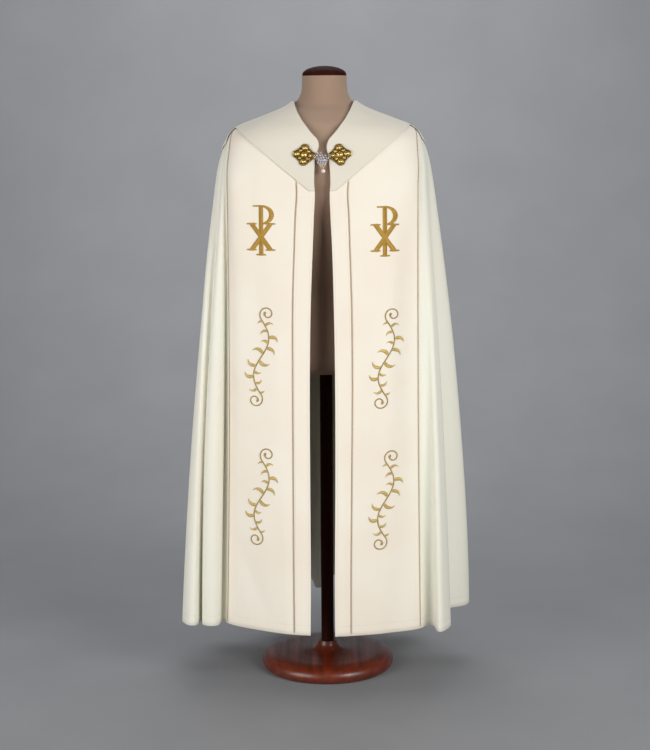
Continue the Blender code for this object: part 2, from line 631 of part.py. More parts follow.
def main():
    """Clears the scene and builds every piece."""
    for old in list(bpy.data.objects):
        bpy.data.objects.remove(old)
    dress_form()
    cloth_piece("edge_band_left", LEFT_EDGE, LEFT_INNER, PANEL_CLOTH)
    cloth_piece("front_panel_left", LEFT_INNER, LEFT_OUTER, PANEL_CLOTH)
    cloth_piece("cloak", LEFT_OUTER, RIGHT_OUTER, CLOAK_CLOTH)
    cloth_piece("front_panel_right", RIGHT_OUTER, RIGHT_INNER, PANEL_CLOTH)
    cloth_piece("edge_band_right", RIGHT_INNER, RIGHT_EDGE, PANEL_CLOTH)
    trim("trim_outer_left", LEFT_OUTER)
    trim("trim_inner_left", LEFT_INNER)
    trim("trim_inner_right", RIGHT_INNER)
    trim("trim_outer_right", RIGHT_OUTER)
    collar()
    clasp("clasp_left", CLASP_LEFT_X)
    clasp("clasp_right", CLASP_RIGHT_X)
    fastening()


main()
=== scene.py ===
"""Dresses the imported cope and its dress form: cloth, braid, embroidery, clasp, linen, wood, light and camera.

Metres, +Z up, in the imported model's own frame. The garment's front faces -Y, and "left" and "right" are as
seen from the front, so left is -X. The cloth's key lines are numbered from one front edge round the back to
the other: the edges and seams of the two fronts, then each valley and ridge of the cloak.
"""

import logging
import math
from dataclasses import dataclass, field
from enum import Enum
from typing import NamedTuple

import bmesh
import bpy
import numpy as np
from mathutils import Matrix, Vector


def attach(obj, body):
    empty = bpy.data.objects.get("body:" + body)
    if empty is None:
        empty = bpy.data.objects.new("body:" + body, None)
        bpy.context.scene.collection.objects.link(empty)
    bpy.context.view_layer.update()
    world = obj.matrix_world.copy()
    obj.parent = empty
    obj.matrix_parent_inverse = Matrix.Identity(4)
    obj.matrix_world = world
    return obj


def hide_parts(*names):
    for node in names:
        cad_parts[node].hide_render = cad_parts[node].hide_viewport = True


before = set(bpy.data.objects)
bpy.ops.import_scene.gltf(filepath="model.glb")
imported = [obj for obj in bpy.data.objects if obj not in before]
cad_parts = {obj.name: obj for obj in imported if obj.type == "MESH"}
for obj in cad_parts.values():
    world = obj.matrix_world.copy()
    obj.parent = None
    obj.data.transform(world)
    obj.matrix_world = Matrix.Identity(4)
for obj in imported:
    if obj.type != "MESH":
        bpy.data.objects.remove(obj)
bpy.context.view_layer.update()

log = logging.getLogger("cope")

MM = 0.001
BODY = "root"

# The cloth, as the solids have it
WALL = 2.0 * MM
SEAM_GAP = 0.3 * MM
HEM_Z = 0.165
YOKE_Z = 1.36
BELL = 0.27
FOLD_TOP_Z = 1.495
FOLD_ROUNDNESS = 1.6
SIDEWAYS_DEPTH = 0.6
EDGE_BAND = 0.0465
LEFT_WAIST = 7.0 * MM
RIGHT_WAIST = 3.0 * MM
PANEL_MIDDLE = 0.5


class Level(NamedTuple):
    """One section of the shoulders: its sizes, where the fronts end and how far open they stand."""

    z: float
    half_width: float
    front: float
    back: float
    power: float
    seam_left: float
    seam_right: float
    open_left: float
    open_right: float


SHOULDERS = (
    Level(1.3600, 0.2945, 0.1450, 0.1500, 2.5, 58.8, 53.2, 0.0315, 0.0170),
    Level(1.4000, 0.2870, 0.1398, 0.1440, 2.5, 61.8, 56.6, 0.0285, 0.0135),
    Level(1.4350, 0.2780, 0.1350, 0.1370, 2.4, 64.8, 60.2, 0.0240, 0.0080),
    Level(1.4560, 0.2705, 0.1315, 0.1320, 2.4, 67.6, 63.2, 0.0155, 0.0045),
    Level(1.4750, 0.2620, 0.1275, 0.1265, 2.4, 72.0, 67.6, 0.0190, 0.0105),
    Level(1.4900, 0.2530, 0.1230, 0.1205, 2.3, 78.5, 74.0, 0.0335, 0.0245),
    Level(1.5020, 0.2410, 0.1180, 0.1150, 2.2, 87.0, 83.5, 0.0430, 0.0345),
    Level(1.5120, 0.2235, 0.1125, 0.1100, 2.1, 90.0, 90.0, 0.0505, 0.0420),
    Level(1.5220, 0.1980, 0.1060, 0.1050, 2.0, 90.0, 90.0, 0.0580, 0.0500),
    Level(1.5350, 0.1645, 0.0975, 0.0985, 2.0, 90.0, 90.0, 0.0655, 0.0580),
    Level(1.5500, 0.1270, 0.0875, 0.0905, 2.0, 90.0, 90.0, 0.0735, 0.0665),
    Level(1.5640, 0.0990, 0.0790, 0.0840, 2.0, 90.0, 90.0, 0.0790, 0.0735),
    Level(1.5750, 0.0850, 0.0730, 0.0790, 2.0, 90.0, 90.0, 0.0825, 0.0790),
)
NECKLINE_Z = SHOULDERS[-1].z


class FrontHem(NamedTuple):
    """Where one front's key lines reach at the hem, from the middle and towards the front."""

    edge_x: float
    edge_y: float
    inner_x: float
    inner_y: float
    panel_x: float
    panel_y: float
    outer_x: float
    outer_y: float


LEFT_HEM = FrontHem(0.0450, 0.2540, 0.0930, 0.2455, 0.1850, 0.2030, 0.2735, 0.1400)
RIGHT_HEM = FrontHem(0.0180, 0.2650, 0.0640, 0.2590, 0.1600, 0.2360, 0.2510, 0.1960)


class Fold(NamedTuple):
    """One valley or ridge of the cloak: its place at chest height, its flare and its place at the hem."""

    name: str
    yoke_deg: float
    yoke_in: float
    bell: float
    hem_x: float
    hem_y: float


FOLDS = (
    Fold("left_valley_1", 62.4, 5 * MM, -0.60, -0.293, -0.112),
    Fold("left_ridge_1_front", 65.0, 1 * MM, 0.40, -0.304, -0.163),
    Fold("left_ridge_1_side", 68.5, 1 * MM, 0.60, -0.333, -0.160),
    Fold("left_valley_2", 73.0, 10 * MM, 0.85, -0.345, -0.108),
    Fold("left_ridge_2_front", 79.5, 2 * MM, 0.60, -0.363, -0.160),
    Fold("left_ridge_2_side", 89.5, 0 * MM, 0.45, -0.400, -0.118),
    Fold("left_valley_3", 100.0, 9 * MM, 0.27, -0.318, -0.045),
    Fold("left_ridge_3_front", 108.0, 0 * MM, 0.27, -0.390, -0.010),
    Fold("left_ridge_3_back", 117.0, 0 * MM, 0.27, -0.394, 0.072),
    Fold("left_valley_4", 127.0, 7 * MM, 0.27, -0.272, 0.098),
    Fold("left_ridge_4_side", 137.0, 0 * MM, 0.27, -0.336, 0.178),
    Fold("left_ridge_4_back", 146.0, 1 * MM, 0.27, -0.268, 0.246),
    Fold("left_valley_5", 155.0, 6 * MM, 0.27, -0.160, 0.182),
    Fold("back_ridge_left_outer", 164.0, 0 * MM, 0.27, -0.168, 0.300),
    Fold("back_ridge_left_inner", 173.0, 0 * MM, 0.27, -0.078, 0.330),
    Fold("back_valley", 181.0, 5 * MM, 0.27, -0.024, 0.196),
    Fold("back_ridge_right_inner", 189.0, 0 * MM, 0.27, 0.012, 0.326),
    Fold("back_ridge_right_outer", 198.0, 0 * MM, 0.27, 0.104, 0.334),
    Fold("right_valley_4", 207.0, 6 * MM, 0.27, 0.116, 0.190),
    Fold("right_ridge_3_back", 217.0, 0 * MM, 0.27, 0.196, 0.300),
    Fold("right_ridge_3_side", 227.0, 1 * MM, 0.30, 0.276, 0.250),
    Fold("right_valley_3", 240.0, 8 * MM, 0.40, 0.236, 0.118),
    Fold("right_ridge_2_back", 253.0, 0 * MM, 0.60, 0.366, 0.128),
    Fold("right_ridge_2_front", 267.0, 0 * MM, 0.75, 0.402, 0.044),
    Fold("right_valley_2", 287.5, 10 * MM, 0.45, 0.310, -0.052),
    Fold("right_ridge_1_side", 294.5, 3 * MM, 0.40, 0.327, -0.196),
    Fold("right_ridge_1_front", 298.5, 1 * MM, 0.27, 0.303, -0.228),
    Fold("right_valley_1", 301.5, 3 * MM, 1.20, 0.279, -0.168),
)

LEFT_EDGE, LEFT_INNER, LEFT_PANEL, LEFT_OUTER = 0, 1, 2, 3
RIGHT_OUTER = LEFT_OUTER + len(FOLDS) + 1
RIGHT_PANEL, RIGHT_INNER, RIGHT_EDGE = RIGHT_OUTER + 1, RIGHT_OUTER + 2, RIGHT_OUTER + 3

Array = np.ndarray


def smooth(values: list, spans: list, share: object, roundness: tuple = (1.0, 1.0)) -> object:
    """The smooth curve from the second of four values to the third.

    Args:
        values: four numbers, or four arrays of points.
        spans: the three distances between them.
        share: how far along the middle span, from 0 to 1.
        roundness: how wide the curve turns at the two ends of the span.

    Returns:
        The number or the points there.
    """
    before, start, end, after = values
    lead, span, trail = spans
    steady = (end - start) / span
    leaving = ((start - before) / lead * span + steady * lead) / (lead + span) * span * roundness[0]
    arriving = (steady * trail + (after - end) / trail * span) / (span + trail) * span * roundness[1]
    square, cube = share**2, share**3
    ends = start * (2 * cube - 3 * square + 1) + end * (3 * square - 2 * cube)
    return ends + leaving * (cube - 2 * square + share) + arriving * (cube - square)


def unit(vectors: Array) -> Array:
    """The same vectors at length one."""
    return vectors / np.maximum(np.linalg.norm(vectors, axis=-1, keepdims=True), 1e-12)


def on_oval(level: Level, degrees: float, inside: float = 0.0) -> Array:
    """The point of a section at an angle from the front, counted over the left side."""
    across, along = math.sin(math.radians(degrees)), math.cos(math.radians(degrees))
    depth = level.front if along > 0 else level.back
    x = math.copysign(abs(across) ** (2 / level.power), -across) * (level.half_width - inside)
    y = math.copysign(abs(along) ** (2 / level.power), -along) * (depth - inside * SIDEWAYS_DEPTH)
    return np.array((x, y))


def oval_angle(level: Level, distance: float) -> float:
    """The angle from the front at which a section is this far from the middle."""
    return math.degrees(math.asin(min(1.0, (distance / level.half_width) ** (level.power / 2))))


def shoulder_level(z: float) -> Level:
    """The shoulders' sizes at height z, read smoothly between the rows."""
    last = len(SHOULDERS) - 1
    row = next((i for i in range(last) if z <= SHOULDERS[i + 1].z), last - 1)
    low, high = SHOULDERS[row], SHOULDERS[row + 1]
    below = SHOULDERS[row - 1] if row > 0 else Level(*(2 * a - b for a, b in zip(low, high)))
    above = SHOULDERS[row + 2] if row + 2 <= last else Level(*(2 * b - a for a, b in zip(low, high)))
    spans = [low.z - below.z, high.z - low.z, above.z - high.z]
    share = (z - low.z) / spans[1]
    return Level(*(smooth(list(four), spans, share) for four in zip(below, low, high, above)))


class Crease(NamedTuple):
    """A soft trough (or ridge, where depth is negative) that runs down the cloth between two places."""

    top_line: float
    top_z: float
    low_line: float
    low_z: float
    width: float
    depth: float


CREASES = (
    Crease(1.95, 1.30, 1.85, 0.70, 0.030, 2.6 * MM),
    Crease(2.55, 1.24, 2.75, 0.42, 0.020, -1.6 * MM),
    Crease(2.90, 0.46, 1.75, 0.20, 0.028, 2.4 * MM),
    Crease(1.30, 0.80, 1.22, 0.17, 0.012, -1.0 * MM),
    Crease(0.45, 1.10, 0.55, 0.17, 0.010, -0.8 * MM),
    Crease(RIGHT_PANEL - 0.25, 1.30, RIGHT_PANEL - 0.1, 0.80, 0.026, -1.6 * MM),
    Crease(RIGHT_PANEL + 0.45, 1.28, RIGHT_PANEL + 0.3, 0.60, 0.024, 1.5 * MM),
    Crease(RIGHT_OUTER + 0.35, 0.60, RIGHT_OUTER + 0.75, 0.17, 0.030, 2.0 * MM),
    Crease(RIGHT_INNER + 0.35, 1.20, RIGHT_INNER + 0.40, 0.17, 0.007, -0.9 * MM),
    Crease(RIGHT_INNER + 0.75, 0.90, RIGHT_INNER + 0.70, 0.17, 0.006, 0.8 * MM),
    Crease(4.0, 1.32, 4.0, 0.17, 0.010, -5.0 * MM),
    Crease(4.5, 1.30, 4.5, 0.17, 0.008, -3.5 * MM),
    Crease(7.0, 1.25, 7.0, 0.17, 0.014, -11.0 * MM),
    Crease(8.0, 1.20, 8.3, 0.30, 0.018, 3.0 * MM),
    Crease(8.6, 0.70, 8.4, 0.17, 0.014, -2.0 * MM),
    Crease(11.0, 1.10, 10.6, 0.45, 0.020, 3.0 * MM),
    Crease(12.5, 1.30, 12.2, 0.90, 0.016, 2.5 * MM),
    Crease(14.6, 0.90, 14.9, 0.20, 0.018, 3.0 * MM),
    Crease(17.4, 1.33, 17.2, 0.70, 0.020, 3.0 * MM),
    Crease(20.5, 1.10, 20.2, 0.35, 0.022, 3.5 * MM),
    Crease(23.4, 1.28, 23.7, 0.60, 0.018, 2.5 * MM),
    Crease(26.0, 1.15, 26.3, 0.40, 0.024, 3.0 * MM),
    Crease(27.2, 0.80, 26.9, 0.17, 0.020, -2.5 * MM),
    Crease(29.6, 1.05, 29.5, 0.40, 0.009, -1.2 * MM),
)


# How the front edges and the inner seams wander from their straight fall: millimetres to the right, by height
SWAY_HEIGHTS = (0.165, 0.31, 0.59, 0.87, 1.04, 1.20, 1.28, 1.335, 1.37, 1.42, 1.60)
SWAYS = (
    (LEFT_EDGE, (-1.0, -0.5, -3.2, -5.3, -4.0, 0.5, 3.0, 4.8, 2.2, 0.0, 0.0)),
    (LEFT_INNER, (4.0, 2.4, -0.3, -3.2, -4.2, -1.2, 1.0, 3.8, 2.0, 0.0, 0.0)),
    (RIGHT_INNER, (-1.6, -1.0, 2.4, 5.3, 4.5, 0.4, -1.8, -4.4, -2.0, 0.0, 0.0)),
    (RIGHT_EDGE, (2.4, 2.6, 5.5, 6.2, 4.2, 0.4, -3.2, -4.6, -2.0, 0.0, 0.0)),
)


@dataclass
class Drape:
    """The cope's one draped surface, sampled as a grid of rows (heights) and columns (places)."""

    fold_steps: int = 8
    panel_steps: int = 14
    band_steps: int = 10
    skirt_rows: int = 90
    shoulder_rows: int = 50
    places: Array = field(init=False)
    heights: Array = field(init=False)
    points: Array = field(init=False)
    normals: Array = field(init=False)
    alongs: Array = field(init=False)
    arc: Array = field(init=False)
    climb: Array = field(init=False)

    def __post_init__(self) -> None:
        """Samples the surface, adds its creases and finds its normals."""
        self.places = self._columns()
        skirt = np.linspace(HEM_Z, YOKE_Z, self.skirt_rows, endpoint=False)
        self.heights = np.concatenate((skirt, np.linspace(YOKE_Z, NECKLINE_Z, self.shoulder_rows)))
        self.points = np.stack([self._section(z) for z in self.heights])
        self._measure()
        self.points = self.points - self.normals * self._crease_depths()[..., None]
        self._measure()

    def _columns(self) -> Array:
        """The places of the columns, with the key lines among them."""
        places: list[float] = []
        for line in range(RIGHT_EDGE):
            steps = self.fold_steps
            if line in (LEFT_EDGE, RIGHT_INNER):
                steps = self.band_steps
            elif line < LEFT_OUTER or line >= RIGHT_OUTER:
                steps = self.panel_steps
            places += [line + step / steps for step in range(steps)]
        return np.array(places + [RIGHT_EDGE])

    @staticmethod
    def _front_angles(level: Level, opening: float, seam: float) -> tuple:
        """The angles of one front's four key lines at a height on the shoulders."""
        edge = oval_angle(level, opening)
        inner = min(oval_angle(level, opening + EDGE_BAND), edge + 0.3 * (seam - edge))
        return edge, inner, inner + (seam - inner) * PANEL_MIDDLE, seam

    def _shoulder_lines(self, z: float) -> Array:
        """The key lines' points at a height on the shoulders."""
        level = shoulder_level(z)
        left = self._front_angles(level, level.open_left, level.seam_left)
        right = self._front_angles(level, level.open_right, level.seam_right)
        fade = min(1.0, max(0.0, (FOLD_TOP_Z - z) / (FOLD_TOP_Z - YOKE_Z)))
        folds = []
        for fold in FOLDS:
            seam, yoke_seam = level.seam_left, SHOULDERS[0].seam_left
            if fold.yoke_deg > 180:
                seam, yoke_seam = level.seam_right, SHOULDERS[0].seam_right
            turn = 180 + (fold.yoke_deg - 180) * (180 - seam) / (180 - yoke_seam)
            folds.append(on_oval(level, turn, fold.yoke_in * fade))
        rights = [on_oval(level, 360 - angle) for angle in reversed(right)]
        return np.array([on_oval(level, angle) for angle in left] + folds + rights)

    @staticmethod
    def _hem_lines() -> Array:
        """The key lines' points at the hem."""
        left = [(-LEFT_HEM[i], -LEFT_HEM[i + 1]) for i in range(0, 8, 2)]
        right = [(RIGHT_HEM[i], -RIGHT_HEM[i + 1]) for i in range(0, 8, 2)]
        return np.array(left + [(fold.hem_x, fold.hem_y) for fold in FOLDS] + right[::-1])

    def _key_lines(self, z: float) -> Array:
        """The key lines' points at any height."""
        if z >= YOKE_Z:
            return self._shoulder_lines(z)
        fallen = (YOKE_Z - z) / (YOKE_Z - HEM_Z)
        bells = [BELL] * (LEFT_OUTER + 1) + [fold.bell for fold in FOLDS] + [BELL] * (RIGHT_EDGE - RIGHT_OUTER + 1)
        shares = (fallen + np.array(bells) * fallen * (1 - fallen))[:, None]
        points = self._shoulder_lines(YOKE_Z) * (1 - shares) + self._hem_lines() * shares
        drawn_in = math.sin(math.pi * fallen)
        points[LEFT_OUTER, 0] += LEFT_WAIST * drawn_in
        points[LEFT_PANEL, 0] += LEFT_WAIST * drawn_in / 2
        points[RIGHT_PANEL, 0] -= RIGHT_WAIST * drawn_in / 2
        points[RIGHT_OUTER, 0] -= RIGHT_WAIST * drawn_in
        return points

    def _section(self, z: float) -> Array:
        """One row of the surface: a point for each column."""
        keys = self._key_lines(z)
        for line, moves in SWAYS:
            keys[line, 0] += np.interp(z, *spline([(height, move * MM) for height, move in zip(SWAY_HEIGHTS, moves)], 6).T)
        keys = np.vstack((2 * keys[0] - keys[1], keys, 2 * keys[-1] - keys[-2]))
        start = np.minimum(self.places.astype(int), RIGHT_EDGE - 1)
        four = [keys[start + k] for k in range(4)]
        spans = [np.linalg.norm(b - a, axis=1)[:, None] for a, b in zip(four, four[1:])]
        round_at = [((start + k > LEFT_OUTER) & (start + k < RIGHT_OUTER))[:, None] for k in (0, 1)]
        roundness = tuple(np.where(is_fold, FOLD_ROUNDNESS, 1.0) for is_fold in round_at)
        flat = smooth(four, spans, (self.places - start)[:, None], roundness)
        return np.column_stack((flat, np.full(len(flat), z)))

    def _measure(self) -> None:
        """Finds the normals, the directions along each row and the lengths along rows and columns."""
        up = np.gradient(self.points, axis=0)
        along = np.gradient(self.points, axis=1)
        self.normals = unit(np.cross(up, along))
        self.alongs = unit(along)
        steps = np.linalg.norm(np.diff(self.points, axis=1), axis=2)
        self.arc = np.pad(np.cumsum(steps, axis=1), ((0, 0), (1, 0)))
        rises = np.linalg.norm(np.diff(self.points, axis=0), axis=2)
        self.climb = np.pad(np.cumsum(rises, axis=0), ((1, 0), (0, 0)))

    def _crease_depths(self) -> Array:
        """How far each point of the grid sinks into its creases."""
        depths = np.zeros(self.arc.shape)
        for crease in CREASES:
            share = (crease.top_z - self.heights) / (crease.top_z - crease.low_z)
            inside = (share > 0) & (share < 1.15)
            fade = np.where(inside, np.sin(np.clip(share, 0, 1) * math.pi / 2) ** 1.5, 0.0)
            if crease.low_z > HEM_Z + 0.02:
                fade = np.where(inside, np.sin(np.clip(share / 1.15, 0, 1) * math.pi) ** 1.3, 0.0)
            lines = crease.top_line + (crease.low_line - crease.top_line) * np.clip(share, 0, 1)
            for row, (line, strength) in enumerate(zip(lines, fade)):
                if strength > 0:
                    centre = np.interp(line, self.places, self.arc[row])
                    away = (self.arc[row] - centre) / crease.width
                    depths[row] += crease.depth * strength * np.exp(-away * away)
        return depths

    def column_of(self, line: float) -> int:
        """The column that runs along a place."""
        return int(np.argmin(np.abs(self.places - line)))

    def at(self, line: float, z: Array) -> tuple:
        """The points, normals and directions along the row at a place and heights.

        Args:
            line: the place between key lines.
            z: the heights.

        Returns:
            Three arrays with a row for each height.
        """
        found = []
        for values in (self.points, self.normals, self.alongs):
            column = np.array([[np.interp(line, self.places, values[row, :, k]) for k in range(3)] for row in range(len(self.heights))])
            found.append(np.column_stack([np.interp(z, self.heights, column[:, k]) for k in range(3)]))
        return found[0], unit(found[1]), unit(found[2])


@dataclass
class FrontMap:
    """Finds the cloth of one front behind a place in the front view."""

    drape: Drape
    side: int
    x_step: float = 1.5 * MM
    z_step: float = 4 * MM

    def __post_init__(self) -> None:
        """Samples the front's depth and normals over a regular grid of x and z."""
        first, last = (LEFT_EDGE, LEFT_OUTER) if self.side < 0 else (RIGHT_OUTER, RIGHT_EDGE)
        columns = slice(self.drape.column_of(first), self.drape.column_of(last) + 1)
        points, normals = self.drape.points[:, columns], self.drape.normals[:, columns]
        order = slice(None, None, -1)
        self.xs = np.arange(points[..., 0].min(), points[..., 0].max(), self.x_step)
        self.zs = np.arange(HEM_Z, 1.40, self.z_step)
        rows = []
        for point_row, normal_row in zip(points, normals):
            x = point_row[order, 0]
            columns_of = (point_row[order, 1], *(normal_row[order, k] for k in range(3)))
            rows.append(np.stack([np.interp(self.xs, x, values) for values in columns_of], axis=1))
        table = np.stack(rows)
        self.table = np.stack(
            [[np.interp(self.zs, self.drape.heights, table[:, i, k]) for k in range(4)] for i in range(len(self.xs))]
        )

    def lay(self, x: Array, z: Array, lift: Array) -> Array:
        """The points that stand a lift off the cloth, at places of the front view.

        Args:
            x: the places across.
            z: the heights.
            lift: how far off the cloth's face.

        Returns:
            An array of points.
        """
        u = np.clip((x - self.xs[0]) / self.x_step, 0, len(self.xs) - 1.001)
        v = np.clip((z - self.zs[0]) / self.z_step, 0, len(self.zs) - 1.001)
        i, j = u.astype(int), v.astype(int)
        a, b = (u - i)[..., None], (v - j)[..., None]
        cells = self.table.transpose(0, 2, 1)
        found = (cells[i, j] * (1 - a) + cells[i + 1, j] * a) * (1 - b)
        found = found + (cells[i, j + 1] * (1 - a) + cells[i + 1, j + 1] * a) * b
        base = np.stack((x, found[..., 0], z), axis=-1)
        return base + unit(found[..., 1:]) * np.asarray(lift)[..., None]


# ---------------------------------------------------------------- meshes


def new_piece(
    name: str, bm: bmesh.types.BMesh, finish: "Finish", replaces: tuple = (), sharp: float = 50.0
) -> bpy.types.Object:
    """Turns a bmesh into a dressed piece of the object that rides on its body.

    Args:
        name: the piece's name.
        bm: its shape, which is freed.
        finish: what it is made of.
        replaces: the CAD nodes that it stands for.
        sharp: edges over this angle, in degrees, stay sharp.

    Returns:
        The new object.
    """
    mesh = bpy.data.meshes.new(name)
    bm.to_mesh(mesh)
    bm.free()
    mesh.shade_smooth()
    mesh.set_sharp_from_angle(angle=math.radians(sharp))
    mesh.materials.append(finish.material())
    piece = bpy.data.objects.new(name, mesh)
    bpy.context.scene.collection.objects.link(piece)
    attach(piece, BODY)
    if replaces:
        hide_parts(*replaces)
    log.info("%s: %d faces", name, len(mesh.polygons))
    return piece


def patch(bm: bmesh.types.BMesh, points: Array, length: Array = None, tone: float = 0.0) -> None:
    """Adds a grid of faces through rows of points, closed where its sides or ends meet.

    Args:
        bm: the bmesh to add to.
        points: rows of points, as an array of rows, columns and three numbers.
        length: how far along the piece each row is, for the UV map, in metres.
        tone: a shade for the whole patch, kept as its attribute.
    """
    rows, columns = points.shape[:2]
    uv = bm.loops.layers.uv.get("thread") or bm.loops.layers.uv.new("thread")
    shade = bm.verts.layers.float.get("tone") or bm.verts.layers.float.new("tone")
    made = bmesh.ops.create_grid(bm, x_segments=columns - 1, y_segments=rows - 1, size=0.5)["verts"]
    length = np.linspace(0, 1, rows) if length is None else length
    place = {v: (round((v.co.y + 0.5) * (rows - 1)), round((v.co.x + 0.5) * (columns - 1))) for v in made}
    faces = {face for vertex in made for face in vertex.link_faces}
    for face in faces:
        for loop in face.loops:
            row, column = place[loop.vert]
            loop[uv].uv = (column / (columns - 1), length[row])
    for vertex, (row, column) in place.items():
        vertex.co = points[row, column]
        vertex[shade] = tone
    bmesh.ops.remove_doubles(bm, verts=made, dist=1e-6)
    kept = [face for face in faces if face.is_valid]
    bmesh.ops.recalc_face_normals(bm, faces=kept)


def sweep(centres: Array, sides: Array, fronts: Array, ring: int, start: float = 0.0) -> Array:
    """The points of a round or oval rod: a ring about each centre, and a point at each end.

    Args:
        centres: the points of its line.
        sides: for each point, the direction and reach to one side.
        fronts: for each point, the direction and reach to the front.
        ring: how many corners a ring has.
        start: the angle of the first corner.

    Returns:
        The rows of points for patch.
    """
    angles = start + np.linspace(0, 2 * math.pi, ring + 1)[None, :, None]
    rows = centres[:, None] + sides[:, None] * np.cos(angles) + fronts[:, None] * np.sin(angles)
    ends = [np.repeat(centres[k][None, None], ring + 1, axis=1) for k in (0, -1)]
    return np.concatenate((ends[0], rows, ends[1]))


def along(points: Array) -> Array:
    """How far along a line of points each of them is."""
    return np.concatenate(([0.0], np.cumsum(np.linalg.norm(np.diff(points, axis=0), axis=1))))


def ends_twice(values: Array) -> Array:
    """The same values with the first and the last repeated, to match the rows of sweep."""
    return np.concatenate((values[:1], values, values[-1:]))


def rod(
    bm: bmesh.types.BMesh, centres: Array, radius: object, ring: int = 8, up: tuple = (0.0, 0.0, 1.0),
    tone: float = 0.0
) -> None:
    """Adds a round rod or wire along points.

    Args:
        bm: the bmesh to add to.
        centres: the points of its line.
        radius: one radius, or one for each point.
        ring: how many corners it has round it.
        up: a direction that the line never follows.
        tone: its shade.
    """
    ahead = unit(np.gradient(centres, axis=0))
    sides = unit(np.cross(np.broadcast_to(np.array(up), ahead.shape), ahead))
    fronts = np.cross(ahead, sides)
    reach = np.broadcast_to(np.asarray(radius, float), (len(centres),))[:, None]
    patch(bm, sweep(centres, sides * reach, fronts * reach, ring), ends_twice(along(centres)), tone)


def bead(
    bm: bmesh.types.BMesh, centre: Vector, radius: float, detail: int = 2, squash: tuple = (1, 1, 1),
    turn: Matrix = None, tone: float = 0.0
) -> None:
    """Adds a ball, or a flattened one, at a place."""
    shade = bm.verts.layers.float.get("tone") or bm.verts.layers.float.new("tone")
    made = bmesh.ops.create_icosphere(bm, subdivisions=detail, radius=radius)["verts"]
    bmesh.ops.scale(bm, verts=made, vec=squash)
    if turn is not None:
        bmesh.ops.transform(bm, matrix=turn.to_4x4(), verts=made)
    bmesh.ops.translate(bm, verts=made, vec=centre)
    for vertex in made:
        vertex[shade] = tone


def spline(points: list, steps: int) -> Array:
    """A smooth line through points, with this many steps between each two."""
    knots = np.array(points, float)
    knots = np.vstack((2 * knots[0] - knots[1], knots, 2 * knots[-1] - knots[-2]))
    shares = np.linspace(0, 1, steps, endpoint=False)[:, None]
    lines = []
    for i in range(1, len(knots) - 2):
        four = [knots[i + k] for k in (-1, 0, 1, 2)]
        spans = [max(float(np.linalg.norm(b - a)), 1e-9) for a, b in zip(four, four[1:])]
        lines.append(smooth(four, spans, shares))
    return np.vstack(lines + [knots[-2][None]])


def shell(points: Array, normals: Array, wall: float, rim: float) -> tuple:
    """A sheet of cloth with two faces and a rounded edge, as a mesh.

    Args:
        points: rows of points on its outer face.
        normals: the outward normals there.
        wall: its thickness, inwards.
        rim: how far its edge bulges.

    Returns:
        The bmesh, and each vertex's row and column as two arrays.
    """
    rows, columns = points.shape[:2]
    bm = bmesh.new()
    bmesh.ops.create_grid(bm, x_segments=columns - 1, y_segments=rows - 1, size=0.5)
    made = bmesh.ops.extrude_face_region(bm, geom=bm.faces)["geom"]
    bmesh.ops.translate(bm, verts=[v for v in made if isinstance(v, bmesh.types.BMVert)], vec=(0, 0, -1))
    bmesh.ops.recalc_face_normals(bm, faces=bm.faces)
    walls = [edge for edge in bm.edges if abs(edge.verts[0].co.z - edge.verts[1].co.z) > 0.5]
    bmesh.ops.subdivide_edges(bm, edges=walls, cuts=3)
    mesh = bpy.data.meshes.new("sheet")
    bm.to_mesh(mesh)
    bm.free()
    flat = np.empty(len(mesh.vertices) * 3)
    mesh.vertices.foreach_get("co", flat)
    flat = flat.reshape(-1, 3)
    row = np.rint((flat[:, 1] + 0.5) * (rows - 1)).astype(int)
    column = np.rint((flat[:, 0] + 0.5) * (columns - 1)).astype(int)
    depth = -flat[:, 2]
    up, side = unit(np.gradient(points, axis=0)), unit(np.gradient(points, axis=1))
    out = (row == rows - 1)[:, None] * up[row, column] - (row == 0)[:, None] * up[row, column]
    out = out + (column == columns - 1)[:, None] * side[row, column] - (column == 0)[:, None] * side[row, column]
    placed = points[row, column] - normals[row, column] * (depth * wall)[:, None]
    placed = placed + out * (rim * np.sin(math.pi * depth))[:, None]
    mesh.vertices.foreach_set("co", placed.ravel())
    return mesh, row, column


def cloth_piece(
    name: str, drape: Drape, grid: tuple, wall: float, finish: "Finish", replaces: tuple, origin: float = 0.0
) -> bpy.types.Object:
    """A piece of cloth from a grid of the drape, with a UV map in metres.

    Args:
        name: the piece's name.
        drape: the surface that it belongs to; not used.
        grid: its outer points, their normals, and their lengths across and up.
        wall: its thickness.
        finish: its cloth.
        replaces: the CAD nodes that it stands for.
        origin: moves the weave along the piece.

    Returns:
        The new object.
    """
    points, normals, across, climb = grid
    mesh, row, column = shell(points, normals, wall, 0.45 * MM)
    mesh.name = name
    layer = mesh.uv_layers.new(name="cloth")
    corners = np.empty(len(mesh.loops), int)
    mesh.loops.foreach_get("vertex_index", corners)
    uvs = np.stack((across[row, column] + origin, climb[row, column]), axis=1)[corners]
    layer.data.foreach_set("uv", uvs.ravel())
    mesh.shade_smooth()
    mesh.set_sharp_from_angle(angle=math.radians(60))
    mesh.materials.append(finish.material())
    mesh.update()
    piece = bpy.data.objects.new(name, mesh)
    bpy.context.scene.collection.objects.link(piece)
    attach(piece, BODY)
    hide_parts(*replaces)
    log.info("%s: %d faces", name, len(mesh.polygons))
    return piece


# -------------------------------------------------------------- finishes


def linear(red: int, green: int, blue: int) -> tuple:
    """A colour given as 0 to 255 on screen, as Blender's linear numbers."""
    shares = [value / 255 for value in (red, green, blue)]
    return tuple(s / 12.92 if s <= 0.04045 else ((s + 0.055) / 1.055) ** 2.4 for s in shares) + (1.0,)


